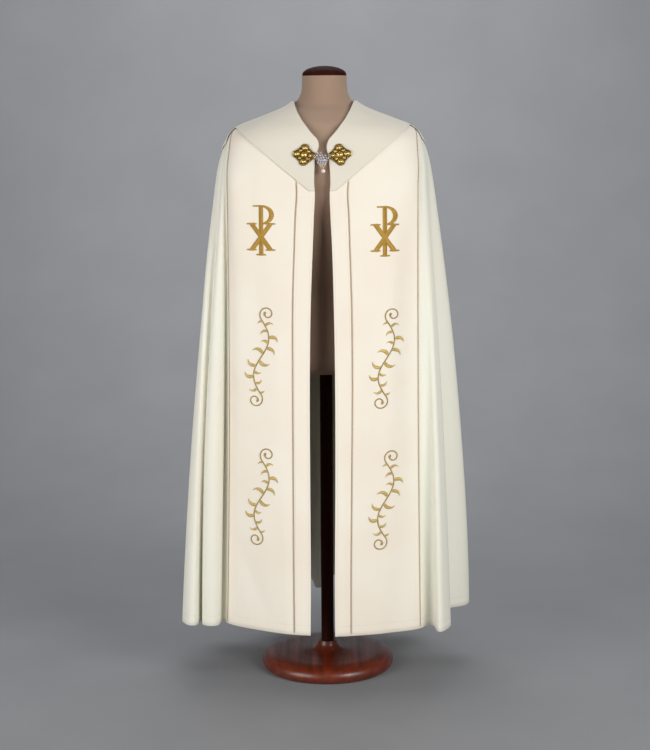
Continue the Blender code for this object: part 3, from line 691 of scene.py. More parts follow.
class Tree:
    """A short way to write the nodes of a material or a group."""

    def __init__(self, tree: bpy.types.NodeTree) -> None:
        """Keeps the tree."""
        self.tree = tree

    def add(self, kind: str, inputs: dict = None, **settings: object) -> bpy.types.Node:
        """Adds a node.

        Args:
            kind: its type without the ShaderNode in front.
            inputs: values or sockets for its inputs, by name or number.
            settings: its own properties.

        Returns:
            The node.
        """
        node = self.tree.nodes.new(kind if kind.startswith("NodeGroup") else "ShaderNode" + kind)
        for key, value in settings.items():
            setattr(node, key, value)
        for key, value in (inputs or {}).items():
            self.put(node.inputs[key], value)
        return node

    def put(self, socket: bpy.types.NodeSocket, value: object) -> None:
        """Gives a socket a value, or links another socket to it."""
        if isinstance(value, bpy.types.NodeSocket):
            self.tree.links.new(value, socket)
        else:
            socket.default_value = value

    def maths(self, operation: str, *values: object) -> bpy.types.NodeSocket:
        """The result of a Math node."""
        return self.add("Math", dict(enumerate(values)), operation=operation).outputs[0]

    def spread(
        self, value: object, low: float, high: float, to_low: float = 0.0, to_high: float = 1.0
    ) -> bpy.types.NodeSocket:
        """A value moved from one range to another and kept inside it."""
        inputs = {"Value": value, "From Min": low, "From Max": high, "To Min": to_low, "To Max": to_high}
        return self.add("MapRange", inputs, clamp=True).outputs[0]

    def blend(self, share: object, first: object, second: object) -> bpy.types.NodeSocket:
        """A colour between two."""
        node = self.add("Mix", data_type="RGBA")
        for socket, value in ((node.inputs[0], share), (node.inputs[6], first), (node.inputs[7], second)):
            self.put(socket, value)
        return node.outputs[2]

    def noise(self, vector: object, scale: float, detail: float = 2.0, rough: float = 0.5) -> bpy.types.NodeSocket:
        """The value of a noise over a vector."""
        inputs = {"Vector": vector, "Scale": scale, "Detail": detail, "Roughness": rough}
        return self.add("TexNoise", inputs).outputs[0]

    def stretched(self, vector: object, scale: tuple) -> bpy.types.NodeSocket:
        """A vector scaled along its axes."""
        return self.add("Mapping", {"Vector": vector, "Scale": scale}).outputs[0]


def group_tree(name: str, inputs: dict, outputs: tuple) -> tuple:
    """A new node group with its sockets.

    Args:
        name: the group's name.
        inputs: socket types and starting values by name.
        outputs: the names of its outputs, all plain values.

    Returns:
        The group, its Tree, its input node and its output node.
    """
    group = bpy.data.node_groups.new(name, "ShaderNodeTree")
    for label, (kind, start) in inputs.items():
        socket = group.interface.new_socket(label, in_out="INPUT", socket_type=kind)
        if start is not None:
            socket.default_value = start
    for label in outputs:
        group.interface.new_socket(label, in_out="OUTPUT", socket_type="NodeSocketFloat")
    tree = Tree(group)
    return group, tree, tree.add("NodeGroupInput"), tree.add("NodeGroupOutput")


class Effect(Enum):
    """The effects that several finishes share, each one a node group."""

    WEAVE = "weave"
    DRAPE = "soft_drape"
    SATIN = "satin_stitch"
    TARNISH = "tarnish"
    GRAIN = "grain"

    def group(self) -> bpy.types.NodeTree:
        """The effect's group, built once."""
        return bpy.data.node_groups.get(self.value) or getattr(self, "_" + self.name.lower())()

    def _weave(self) -> bpy.types.NodeTree:
        """Crossing threads of uneven thickness, with a tone that follows them."""
        sockets = {"Vector": ("NodeSocketVector", None), "Spacing": ("NodeSocketFloat", 0.001)}
        group, tree, given, made = group_tree(self.value, sockets, ("Height", "Tone"))
        wander = tree.noise(given.outputs["Vector"], 60.0, 2.0)
        turns = tree.add("VectorMath", {0: given.outputs["Vector"]}, operation="SCALE")
        tree.put(turns.inputs["Scale"], tree.maths("DIVIDE", 2 * math.pi, given.outputs["Spacing"]))
        split = tree.add("SeparateXYZ", {0: turns.outputs[0]})
        across = tree.maths("SINE", tree.maths("MULTIPLY_ADD", wander, 3.0, split.outputs[0]))
        up = tree.maths("SINE", tree.maths("MULTIPLY_ADD", wander, -3.0, split.outputs[1]))
        height = tree.maths("MULTIPLY_ADD", tree.maths("MULTIPLY", across, up), 0.35, 0.5)
        slub_up = tree.noise(tree.stretched(given.outputs["Vector"], (1400.0, 30.0, 1.0)), 1.0, 1.0)
        slub_across = tree.noise(tree.stretched(given.outputs["Vector"], (30.0, 1400.0, 1.0)), 1.0, 1.0)
        slubs = tree.maths("ADD", slub_up, slub_across)
        tree.put(made.inputs["Height"], tree.maths("MULTIPLY_ADD", slubs, 0.4, height))
        tree.put(made.inputs["Tone"], tree.maths("MULTIPLY", slubs, 0.5))
        return group

    def _drape(self) -> bpy.types.NodeTree:
        """The slack of hanging cloth: broad soft unevenness and small puckers along its sewn edges."""
        sockets = {
            "Place": ("NodeSocketVector", None), "Cloth": ("NodeSocketVector", None),
            "Edge": ("NodeSocketFloat", 0.0)
        }
        group, tree, given, made = group_tree(self.value, sockets, ("Height", "Patch"))
        broad = tree.noise(tree.stretched(given.outputs["Place"], (9.0, 9.0, 2.2)), 1.0, 3.0, 0.45)
        waves = tree.noise(tree.stretched(given.outputs["Cloth"], (26.0, 62.0, 1.0)), 1.0, 2.0)
        puckers = tree.maths("MULTIPLY", waves, given.outputs["Edge"])
        tree.put(made.inputs["Height"], tree.maths("MULTIPLY_ADD", puckers, 0.35, broad))
        tree.put(made.inputs["Patch"], tree.noise(given.outputs["Place"], 5.0, 3.0))
        return group

    def _satin(self) -> bpy.types.NodeTree:
        """Close parallel stitches that lie across a ribbon, from its UV map."""
        sockets = {
            "Vector": ("NodeSocketVector", None), "Spacing": ("NodeSocketFloat", 0.0007),
            "Slant": ("NodeSocketFloat", 0.0)
        }
        group, tree, given, made = group_tree(self.value, sockets, ("Height", "Tone", "Edge"))
        split = tree.add("SeparateXYZ", {0: given.outputs["Vector"]})
        around, length = split.outputs[0], split.outputs[1]
        slanted = tree.maths("MULTIPLY_ADD", around, given.outputs["Slant"], length)
        uneven = tree.noise(tree.stretched(given.outputs["Vector"], (3.0, 400.0, 1.0)), 1.0, 2.0)
        turns = tree.maths(
            "MULTIPLY_ADD", uneven, 2.5,
            tree.maths("MULTIPLY", tree.maths("DIVIDE", slanted, given.outputs["Spacing"]), 2 * math.pi)
        )
        tree.put(made.inputs["Height"], tree.maths("MULTIPLY_ADD", tree.maths("SINE", turns), 0.5, 0.5))
        tree.put(made.inputs["Tone"], uneven)
        # Edge is a mask for painted shade: one at the two sides of the ribbon, none along its top and underside.
        sideways = tree.maths(
            "ABSOLUTE",
            tree.maths("SUBTRACT", tree.maths("ABSOLUTE", tree.maths("SUBTRACT", around, 0.5)), 0.25)
        )
        tree.put(made.inputs["Edge"], tree.spread(sideways, 0.13, 0.22))
        return group

    def _tarnish(self) -> bpy.types.NodeTree:
        """Brown tarnish that stays low down and in patches."""
        sockets = {"Place": ("NodeSocketVector", None), "Tone": ("NodeSocketFloat", 0.0)}
        group, tree, given, made = group_tree(self.value, sockets, ("Share",))
        cloudy = tree.noise(given.outputs["Place"], 160.0, 3.0)
        fine = tree.noise(given.outputs["Place"], 900.0, 2.0)
        sum_of = tree.maths(
            "ADD", tree.maths("MULTIPLY_ADD", cloudy, 0.5, given.outputs["Tone"]),
            tree.maths("MULTIPLY", fine, 0.25)
        )
        tree.put(made.inputs["Share"], tree.spread(sum_of, 0.45, 1.2))
        return group

    def _grain(self) -> bpy.types.NodeTree:
        """Long uneven grain along one direction, with pores."""
        sockets = {"Vector": ("NodeSocketVector", None)}
        group, tree, given, made = group_tree(self.value, sockets, ("Figure", "Pores"))
        bands = tree.noise(tree.stretched(given.outputs["Vector"], (55.0, 55.0, 3.0)), 1.0, 4.0, 0.6)
        pores = tree.noise(tree.stretched(given.outputs["Vector"], (900.0, 900.0, 22.0)), 1.0, 2.0)
        tree.put(made.inputs["Figure"], bands)
        tree.put(made.inputs["Pores"], tree.spread(pores, 0.35, 0.6))
        return group


@dataclass(frozen=True)
class Finish:
    """What a piece is made of: its name and the record's material slot."""

    name: str
    slot: str

    def material(self) -> bpy.types.Material:
        """The finish's material, built once."""
        made = bpy.data.materials.get(self.name)
        if made is None:
            made = bpy.data.materials.new(self.name)
            made.use_nodes = True
            tree = Tree(made.node_tree)
            self.dress(tree, made.node_tree.nodes["Principled BSDF"])
        return made

    def dress(self, tree: Tree, shader: bpy.types.Node) -> None:
        """Sets the shader and its textures."""
        raise NotImplementedError

    @staticmethod
    def place(tree: Tree) -> bpy.types.NodeSocket:
        """The place on the object."""
        return tree.add("TexCoord").outputs["Object"]

    @staticmethod
    def uv(tree: Tree, name: str) -> bpy.types.NodeSocket:
        """The place on the piece's own UV map."""
        return tree.add("UVMap", uv_map=name).outputs[0]

    @staticmethod
    def shade(tree: Tree, name: str) -> bpy.types.NodeSocket:
        """A number kept on the piece's vertices."""
        return tree.add("Attribute", attribute_name=name).outputs["Fac"]

    @staticmethod
    def effect(tree: Tree, effect: Effect, inputs: dict) -> bpy.types.Node:
        """A shared effect placed in this finish."""
        node = tree.add("Group", node_tree=effect.group())
        for key, value in inputs.items():
            tree.put(node.inputs[key], value)
        return node

    @staticmethod
    def bump(
        tree: Tree, shader: bpy.types.Node, height: object, depth: float, over: bpy.types.NodeSocket = None
    ) -> bpy.types.NodeSocket:
        """Adds relief of a depth in metres to the shader, over any other relief."""
        node = tree.add("Bump", {"Height": height, "Distance": depth, "Strength": 1.0})
        if over is not None:
            tree.put(node.inputs["Normal"], over)
        tree.put(shader.inputs["Normal"], node.outputs[0])
        return node.outputs[0]


@dataclass(frozen=True)
class Cloth(Finish):
    """Woven cloth that hangs."""

    colour: tuple
    warm: tuple
    spacing: float
    relief: float
    roughness: float = 0.8
    sheen: float = 0.25
    slack: float = 2.2 * MM

    def dress(self, tree: Tree, shader: bpy.types.Node) -> None:
        """Sets the shader and its textures."""
        place, cloth = self.place(tree), self.uv(tree, "cloth")
        weave = self.effect(tree, Effect.WEAVE, {"Vector": cloth, "Spacing": self.spacing})
        drape = self.effect(tree, Effect.DRAPE, {"Place": place, "Cloth": cloth, "Edge": self.shade(tree, "edge")})
        patch_share = tree.spread(drape.outputs["Patch"], 0.35, 0.65)
        thread_share = tree.spread(weave.outputs["Tone"], 0.3, 0.7, 0.0, 0.35)
        colour = tree.blend(patch_share, self.colour, self.warm)
        darker = tuple(value * 0.93 for value in self.colour[:3]) + (1.0,)
        tree.put(shader.inputs["Base Color"], tree.blend(thread_share, colour, darker))
        tree.put(
            shader.inputs["Roughness"],
            tree.spread(weave.outputs["Tone"], 0.2, 0.8, self.roughness - 0.05, self.roughness + 0.05)
        )
        shader.inputs["Sheen Weight"].default_value = self.sheen
        shader.inputs["Sheen Roughness"].default_value = 0.5
        shader.inputs["Specular IOR Level"].default_value = 0.25
        broad = self.bump(tree, shader, drape.outputs["Height"], self.slack)
        self.bump(tree, shader, weave.outputs["Height"], self.relief, broad)


@dataclass(frozen=True)
class MetalThread(Finish):
    """Metallic thread in close stitches or twisted plies, with painted shade at its sides and between its stitches, and
    painted glints.
    """

    colour: tuple
    # dark: painted shade at the sides and between the stitches; it is also the darker thread where a vertex's tone asks
    # for it
    dark: tuple
    # light: painted glints, laid in random streaks
    light: tuple
    spacing: float
    slant: float
    # edges: how much painted shade the sides of each ribbon take
    edges: float
    roughness: float = 0.42

    def dress(self, tree: Tree, shader: bpy.types.Node) -> None:
        """Sets the shader and its textures."""
        thread = self.uv(tree, "thread")
        satin = self.effect(tree, Effect.SATIN, {"Vector": thread, "Spacing": self.spacing, "Slant": self.slant})
        # Painted glints: the lighter colour laid in random streaks along the thread.
        glints = tree.spread(satin.outputs["Tone"], 0.35, 0.7)
        colour = tree.blend(glints, self.colour, self.light)
        # Painted shade: darker at the sides of each ribbon and in the dips between stitches, plus the vertex's own
        # tone.
        edge = tree.maths("MULTIPLY", satin.outputs["Edge"], self.edges)
        painted_shade = tree.maths("MULTIPLY_ADD", tree.spread(satin.outputs["Height"], 0.35, 0.0), 0.45, edge)
        colour = tree.blend(
            tree.maths("MINIMUM", tree.maths("ADD", painted_shade, self.shade(tree, "tone")), 1.0), colour, self.dark
        )
        tree.put(shader.inputs["Base Color"], colour)
        tree.put(
            shader.inputs["Roughness"],
            tree.spread(satin.outputs["Tone"], 0.2, 0.8, self.roughness - 0.08, self.roughness + 0.1)
        )
        shader.inputs["Metallic"].default_value = 0.45
        shader.inputs["Sheen Weight"].default_value = 0.2
        self.bump(tree, shader, satin.outputs["Height"], 0.18 * MM)


@dataclass(frozen=True)
class Gilt(Finish):
    """Cast and gilded metal, tarnished low down."""

    colour: tuple
    dark: tuple
    roughness: float
    metallic: float = 1.0

    def dress(self, tree: Tree, shader: bpy.types.Node) -> None:
        """Sets the shader and its textures."""
        place = self.place(tree)
        tarnish = self.effect(tree, Effect.TARNISH, {"Place": place, "Tone": self.shade(tree, "tone")})
        tree.put(shader.inputs["Base Color"], tree.blend(tarnish.outputs[0], self.colour, self.dark))
        tree.put(
            shader.inputs["Roughness"],
            tree.spread(tarnish.outputs[0], 0.0, 1.0, self.roughness, self.roughness + 0.3)
        )
        shader.inputs["Metallic"].default_value = self.metallic
        self.bump(tree, shader, tree.noise(place, 700.0, 3.0), 0.05 * MM)


@dataclass(frozen=True)
class Crystal(Finish):
    """Cut glass, clear with a faint colour."""

    colour: tuple

    def dress(self, tree: Tree, shader: bpy.types.Node) -> None:
        """Sets the shader and its textures."""
        place = self.place(tree)
        tree.put(shader.inputs["Base Color"], tree.blend(tree.noise(place, 300.0), self.colour, (1.0, 1.0, 1.0, 1.0)))
        tree.put(shader.inputs["Roughness"], tree.spread(tree.noise(place, 500.0), 0.3, 0.7, 0.01, 0.06))
        shader.inputs["Transmission Weight"].default_value = 0.6
        shader.inputs["IOR"].default_value = 1.55


@dataclass(frozen=True)
class Pearl(Finish):
    """A pearl's soft lustre."""

    colour: tuple

    def dress(self, tree: Tree, shader: bpy.types.Node) -> None:
        """Sets the shader and its textures."""
        place = self.place(tree)
        warm = tuple(value * share for value, share in zip(self.colour, (1.0, 0.9, 0.86))) + (1.0,)
        tree.put(shader.inputs["Base Color"], tree.blend(tree.noise(place, 220.0), self.colour, warm))
        tree.put(shader.inputs["Roughness"], tree.spread(tree.noise(place, 400.0), 0.2, 0.8, 0.16, 0.3))
        shader.inputs["Coat Weight"].default_value = 0.6
        shader.inputs["Coat Roughness"].default_value = 0.1


@dataclass(frozen=True)
class Wood(Finish):
    """Turned wood under a stained gloss."""

    colour: tuple
    dark: tuple
    turned: bool = False
    roughness: float = 0.3
    gloss: float = 0.25

    def dress(self, tree: Tree, shader: bpy.types.Node) -> None:
        """Sets the shader and its textures."""
        place = self.place(tree)
        if self.turned:
            place = tree.add("Mapping", {"Vector": place, "Rotation": (math.radians(90), 0.0, 0.0)}).outputs[0]
        grain = self.effect(tree, Effect.GRAIN, {"Vector": place})
        figure = tree.spread(grain.outputs["Figure"], 0.3, 0.7)
        colour = tree.blend(figure, self.colour, self.dark)
        tree.put(
            shader.inputs["Base Color"],
            tree.blend(tree.maths("MULTIPLY", tree.spread(grain.outputs["Pores"], 1.0, 0.0), 0.35), colour, self.dark)
        )
        tree.put(
            shader.inputs["Roughness"],
            tree.spread(grain.outputs["Figure"], 0.3, 0.7, self.roughness, self.roughness + 0.12)
        )
        shader.inputs["Coat Weight"].default_value = self.gloss
        shader.inputs["Specular IOR Level"].default_value = min(0.5, 0.1 + 2.0 * self.gloss)
        shader.inputs["Coat Roughness"].default_value = 0.2
        self.bump(tree, shader, grain.outputs["Pores"], 0.05 * MM)


MANTLE = Cloth("mantle_cloth", "cloak_cloth", linear(236, 236, 222), linear(238, 234, 220), 0.9 * MM, 0.10 * MM)
# The collar is the cloak's cloth painted darker and warmer: painted shade on its up-facing lay over the shoulders.
SHADED_COLLAR_CLOTH = Cloth(
    "collar_cloth", "cloak_cloth", linear(228, 222, 207), linear(226, 218, 203), 0.9 * MM, 0.10 * MM,
    slack=1.6 * MM
)
PANEL = Cloth(
    "panel_satin", "panel_cloth", linear(243, 236, 222), linear(241, 230, 214), 0.7 * MM, 0.06 * MM, 0.62, 0.2,
    1.8 * MM
)
# For each metal thread, the second colour is painted shade (and darker thread where a tone asks) and the third is
# painted glints.
SEWING = MetalThread(
    "sewing_thread", "panel_cloth", linear(206, 196, 176), linear(150, 138, 118), linear(226, 216, 196),
    0.4 * MM, 0.004, 0.2, 0.6
)
CORD = MetalThread(
    "twisted_gold_cord", "gold_braid", linear(228, 202, 160), linear(184, 142, 106), linear(242, 224, 190),
    0.5 * MM, 0.002, 0.2
)
SATIN_GOLD = MetalThread(
    "gold_satin_stitch", "gold_braid", linear(184, 142, 48), linear(138, 104, 36), linear(206, 164, 74),
    0.75 * MM, 0.004, 0.55
)
SCROLL_GOLD = MetalThread(
    "gold_scroll_stitch", "gold_braid", linear(212, 176, 86), linear(100, 82, 38), linear(242, 214, 132),
    0.7 * MM, 0.004, 1.0
)
GILT = Gilt("antique_gilt", "gilt_metal", linear(240, 208, 128), linear(64, 44, 14), 0.26)
SILVER = Gilt("pale_silver", "gilt_metal", linear(206, 200, 200), linear(96, 90, 92), 0.22)
GLASS = Crystal("cut_crystal", "crystal", linear(226, 222, 240))
PEARL = Pearl("pearl_bead", "crystal", linear(240, 234, 238))
LINEN = Cloth(
    "form_linen_weave", "form_linen", linear(170, 144, 124), linear(160, 132, 112), 1.4 * MM, 0.22 * MM, 0.85,
    0.2, 0.6 * MM
)
BASE_WOOD = Wood("stained_base_wood", "stained_wood", linear(128, 48, 20), linear(74, 24, 10), turned=True)
CAP_WOOD = Wood("stained_cap_wood", "stained_wood", linear(60, 18, 9), linear(40, 11, 5), roughness=0.6, gloss=0.0)


# ---------------------------------------------------------- sub-assemblies


@dataclass
class Vestment:
    """The cope's cloth: cloak, front panels, edge bands and collar."""

    drape: Drape
    collar_rows: int = 40
    collar_point_z: float = 1.341
    collar_point_left: float = 0.0400
    collar_point_right: float = 0.0250
    collar_slope: float = 0.83
    collar_back_drop: float = 0.125
    collar_back_rounding: float = 1.4
    collar_lay_neck: float = 0.6 * MM
    collar_lay_edge: float = 2.2 * MM
    collar_lay_depth: float = 0.070
    pucker_reach: float = 0.012

    def lay(self, z: Array) -> Array:
        """The clearance between the collar and the cloth under it, at heights."""
        share = np.minimum(1.0, (NECKLINE_Z - z) / self.collar_lay_depth)
        return self.collar_lay_neck + (self.collar_lay_edge - self.collar_lay_neck) * share

    def slant_z(self, x: float) -> float:
        """The height of the collar's slanting front edge at a distance from the middle."""
        start = self.collar_point_left if x < 0 else self.collar_point_right
        return self.collar_point_z + self.collar_slope * max(0.0, abs(x) - start)

    def front_edge_z(self, column: int) -> float:
        """Where a column of a front meets the collar's slanting edge."""
        low, high = self.collar_point_z, NECKLINE_Z
        for _ in range(24):
            middle = (low + high) / 2
            x = float(np.interp(middle, self.drape.heights, self.drape.points[:, column, 0]))
            low, high = (middle, high) if middle < self.slant_z(x) else (low, middle)
        return high

    def collar_edges(self) -> Array:
        """The height of the collar's edge in every column."""
        places = self.drape.places
        edges = np.zeros(len(places))
        first, last = self.drape.column_of(LEFT_OUTER), self.drape.column_of(RIGHT_OUTER)
        ends = self.front_edge_z(first), self.front_edge_z(last)
        for column, place in enumerate(places):
            if first < column < last:
                share = (place - LEFT_OUTER) / (RIGHT_OUTER - LEFT_OUTER)
                drop = self.collar_back_drop * math.sin(math.pi * share) ** self.collar_back_rounding
                edges[column] = ends[0] * (1 - share) + ends[1] * share - drop
            else:
                edges[column] = self.front_edge_z(column)
        return edges

    def sheet(self, name: str, first: int, last: int, finish: Finish) -> bpy.types.Object:
        """One sewn piece between two key lines, from the hem to the neckline."""
        drape = self.drape
        columns = slice(drape.column_of(first), drape.column_of(last) + 1)
        points = drape.points[:, columns].copy()
        points[:, 0] += drape.alongs[:, columns][:, 0] * SEAM_GAP / 2
        points[:, -1] -= drape.alongs[:, columns][:, -1] * SEAM_GAP / 2
        across = drape.arc[:, columns] - drape.arc[:, columns][:, :1]
        grid = (points, drape.normals[:, columns], across, drape.climb[:, columns])
        piece = cloth_piece(name, drape, grid, WALL, finish, (name.replace("_cloth", ""),))
        self.mark_edges(piece, across)
        return piece

    def mark_edges(self, piece: bpy.types.Object, across: Array) -> None:
        """Keeps on each vertex how near it is to a sewn edge, for the puckers."""
        width = float(across[:, -1].mean())
        uvs = np.empty(len(piece.data.loops) * 2)
        piece.data.uv_layers["cloth"].data.foreach_get("uv", uvs)
        corners = np.empty(len(piece.data.loops), int)
        piece.data.loops.foreach_get("vertex_index", corners)
        where = np.zeros(len(piece.data.vertices))
        where[corners] = uvs[::2]
        near = np.minimum(where, np.abs(width - where))
        values = np.exp(-np.maximum(near, 0.0) / self.pucker_reach)
        piece.data.attributes.new("edge", "FLOAT", "POINT").data.foreach_set("value", values)

    def collar(self) -> bpy.types.Object:
        """The wide flat collar that lies over the shoulders."""
        drape, edges = self.drape, self.collar_edges()
        shares = np.linspace(0.0, 1.0, self.collar_rows)
        points = np.zeros((self.collar_rows, len(drape.places), 3))
        normals = np.zeros_like(points)
        for column, edge in enumerate(edges):
            z = edge + (NECKLINE_Z - edge) * shares
            for k in range(3):
                points[:, column, k] = np.interp(z, drape.heights, drape.points[:, column, k])
                normals[:, column, k] = np.interp(z, drape.heights, drape.normals[:, column, k])
            points[:, column, 2] = z
        normals = unit(normals)
        lift = self.lay(points[..., 2]) + WALL
        points = points + normals * lift[..., None]
        across = np.pad(np.cumsum(np.linalg.norm(np.diff(points, axis=1), axis=2), axis=1), ((0, 0), (1, 0)))
        climb = np.pad(np.cumsum(np.linalg.norm(np.diff(points, axis=0), axis=2), axis=0), ((1, 0), (0, 0)))
        self.collar_points, self.collar_normals = points, normals
        # The collar's colour carries painted shade.
        piece = cloth_piece("collar_cloth", drape, (points, normals, across, climb), WALL, SHADED_COLLAR_CLOTH, ("collar",))
        self.mark_edges(piece, across)
        return piece

    def build(self) -> dict:
        """Builds the six pieces of cloth and returns them by name."""
        made = {
            "cloak": self.sheet("cloak_cloth", LEFT_OUTER, RIGHT_OUTER, MANTLE),
            "panel_left": self.sheet("front_panel_left_cloth", LEFT_INNER, LEFT_OUTER, PANEL),
            "panel_right": self.sheet("front_panel_right_cloth", RIGHT_OUTER, RIGHT_INNER, PANEL),
            "band_left": self.sheet("edge_band_left_cloth", LEFT_EDGE, LEFT_INNER, PANEL),
            "band_right": self.sheet("edge_band_right_cloth", RIGHT_INNER, RIGHT_EDGE, PANEL),
            "collar": self.collar(),
        }
        return made


@dataclass
class Cords:
    """The four twisted gold cords that lie on the long seams."""

    drape: Drape
    vestment: Vestment
    ply_radius: float = 0.62 * MM
    ply_offset: float = 0.58 * MM
    pitch: float = 12.5 * MM
    seat: float = 1.05 * MM
    flat: float = 0.72
    end_gap: float = 6.0 * MM
    samples: int = 8
    ring: int = 6

    def build(self) -> list:
        """Builds the cords and returns them."""
        edges = self.vestment.collar_edges()
        made = []
        for line, name in (
            (LEFT_OUTER, "outer_left"), (LEFT_INNER, "inner_left"), (RIGHT_INNER, "inner_right"),
            (RIGHT_OUTER, "outer_right")
        ):
            top = float(edges[self.drape.column_of(line)]) - self.end_gap
            made.append(self.cord(f"gold_cord_{name}", line, top, f"trim_{name}"))
        return made

    def cord(self, name: str, line: int, top: float, node: str) -> bpy.types.Object:
        """One cord of two plies from the hem to the collar's edge."""
        low = HEM_Z + self.end_gap
        count = int((top - low) / self.pitch * self.samples)
        z = np.linspace(low, top, count)
        base, normals, sides = self.drape.at(line, z)
        turn = 2 * math.pi * along(base) / self.pitch
        bm = bmesh.new()
        for ply, tone in ((0.0, 0.0), (math.pi, 0.55)):
            out = (self.seat + self.ply_offset * self.flat * np.sin(turn + ply))[:, None]
            aside = (self.ply_offset * np.cos(turn + ply))[:, None]
            rod(bm, base + normals * out + sides * aside, self.ply_radius, self.ring, tone=tone)
        return new_piece(name, bm, CORD, (node,), 80.0)


@dataclass
class Stitching:
    """The small stitches that show along edges and seams."""

    drape: Drape
    stitch: float = 3.2 * MM
    gap: float = 1.6 * MM
    radius: float = 0.28 * MM

    def run(self, bm: bmesh.types.BMesh, points: Array, normals: Array) -> None:
        """Adds a row of stitches along a line that lies on the cloth."""
        length = along(points)
        starts = np.arange(0.0, length[-1] - self.stitch, self.stitch + self.gap)
        for start in starts:
            at = np.linspace(start, start + self.stitch, 3)
            centre = np.column_stack([np.interp(at, length, points[:, k]) for k in range(3)])
            out = unit(np.column_stack([np.interp(at, length, normals[:, k]) for k in range(3)]))
            ahead = unit(np.gradient(centre, axis=0))
            side = unit(np.cross(out, ahead))
            swell = np.array((0.7, 1.0, 0.7))[:, None] * self.radius
            lifted = centre + out * (np.array((-0.05, 0.12, -0.05)) * MM)[:, None]
            patch(bm, sweep(lifted, side * swell, out * swell, 4), ends_twice(along(lifted)))

    def beside(self, bm: bmesh.types.BMesh, line: int, offset: float, low: float, top: float) -> None:
        """Adds stitches up the cloth, at a distance from a key line."""
        z = np.linspace(low, top, 160)
        base, normals, sides = self.drape.at(line, z)
        self.run(bm, base + sides * offset, normals)

    def around(self, bm: bmesh.types.BMesh, first: int, last: int, height: float) -> None:
        """Adds stitches along the hem, at a height above it."""
        row = int(np.argmin(np.abs(self.drape.heights - HEM_Z - height)))
        columns = slice(self.drape.column_of(first), self.drape.column_of(last) + 1)
        points, normals = self.drape.points[row, columns], self.drape.normals[row, columns]
        self.run(bm, points, normals)


@dataclass
class Stroke:
    """One embroidered stroke: places on the front view in millimetres, and a width at each."""

    points: list
    widths: list
    lift: float = 0.0
    steps: int = 5
    tone: float = 0.0


@dataclass
class Monogram:
    """The crossed Chi and Rho, set out with symmetric arms and equal serifs; all sizes in millimetres."""

    height: float = 130.0
    weight: float = 12.0
    arm_reach: float = 25.0
    arm_rise: float = 34.0
    crossing: float = -18.0
    serif_length: float = 26.0
    serif_weight: float = 5.0
    bowl_width: float = 28.0
    bowl_height: float = 46.0

    def serif(self, x: float, z: float, lift: float) -> Stroke:
        """One level serif, thicker in its middle."""
        half, thin = self.serif_length / 2, self.serif_weight * 0.7
        return Stroke([(x - half, z), (x, z), (x + half, z)], [thin, self.serif_weight, thin], lift)

    def strokes(self) -> list:
        """All strokes of the two letters."""
        top, foot = self.height / 2, -self.height / 2
        found = [Stroke([(0, top), (0, 0), (0, foot)], [self.weight] * 3)]
        for way, lift in ((1, 0.35), (-1, 0.1)):
            ends = [
                (-way * self.arm_reach, self.crossing + self.arm_rise),
                (way * self.arm_reach, self.crossing - self.arm_rise)
            ]
            found.append(Stroke([ends[0], (0, self.crossing), ends[1]], [self.weight] * 3, lift))
            found += [self.serif(x, z, 0.5) for x, z in ends]
        found.append(self.serif(0.0, foot, 0.3))
        turns = np.linspace(math.pi / 2, -math.pi / 2, 13)
        middle = top - self.bowl_height / 2 - self.serif_weight / 2
        bowl = [(self.bowl_width * math.cos(a), middle + self.bowl_height / 2 * math.sin(a)) for a in turns]
        swell = [self.serif_weight + (self.weight + 1.0 - self.serif_weight) * math.cos(a) ** 2 for a in turns]
        bar = (-self.serif_length * 0.8, middle + self.bowl_height / 2)
        found.append(Stroke([bar] + bowl, [self.serif_weight * 0.8] + swell, 0.2))
        return found


@dataclass(frozen=True)
class Leaf:
    """Where a leaf leaves the scroll's stem, its side, its length, how far it bends over that length, and its width."""

    share: float
    side: int
    length: float
    bend: float
    width: float


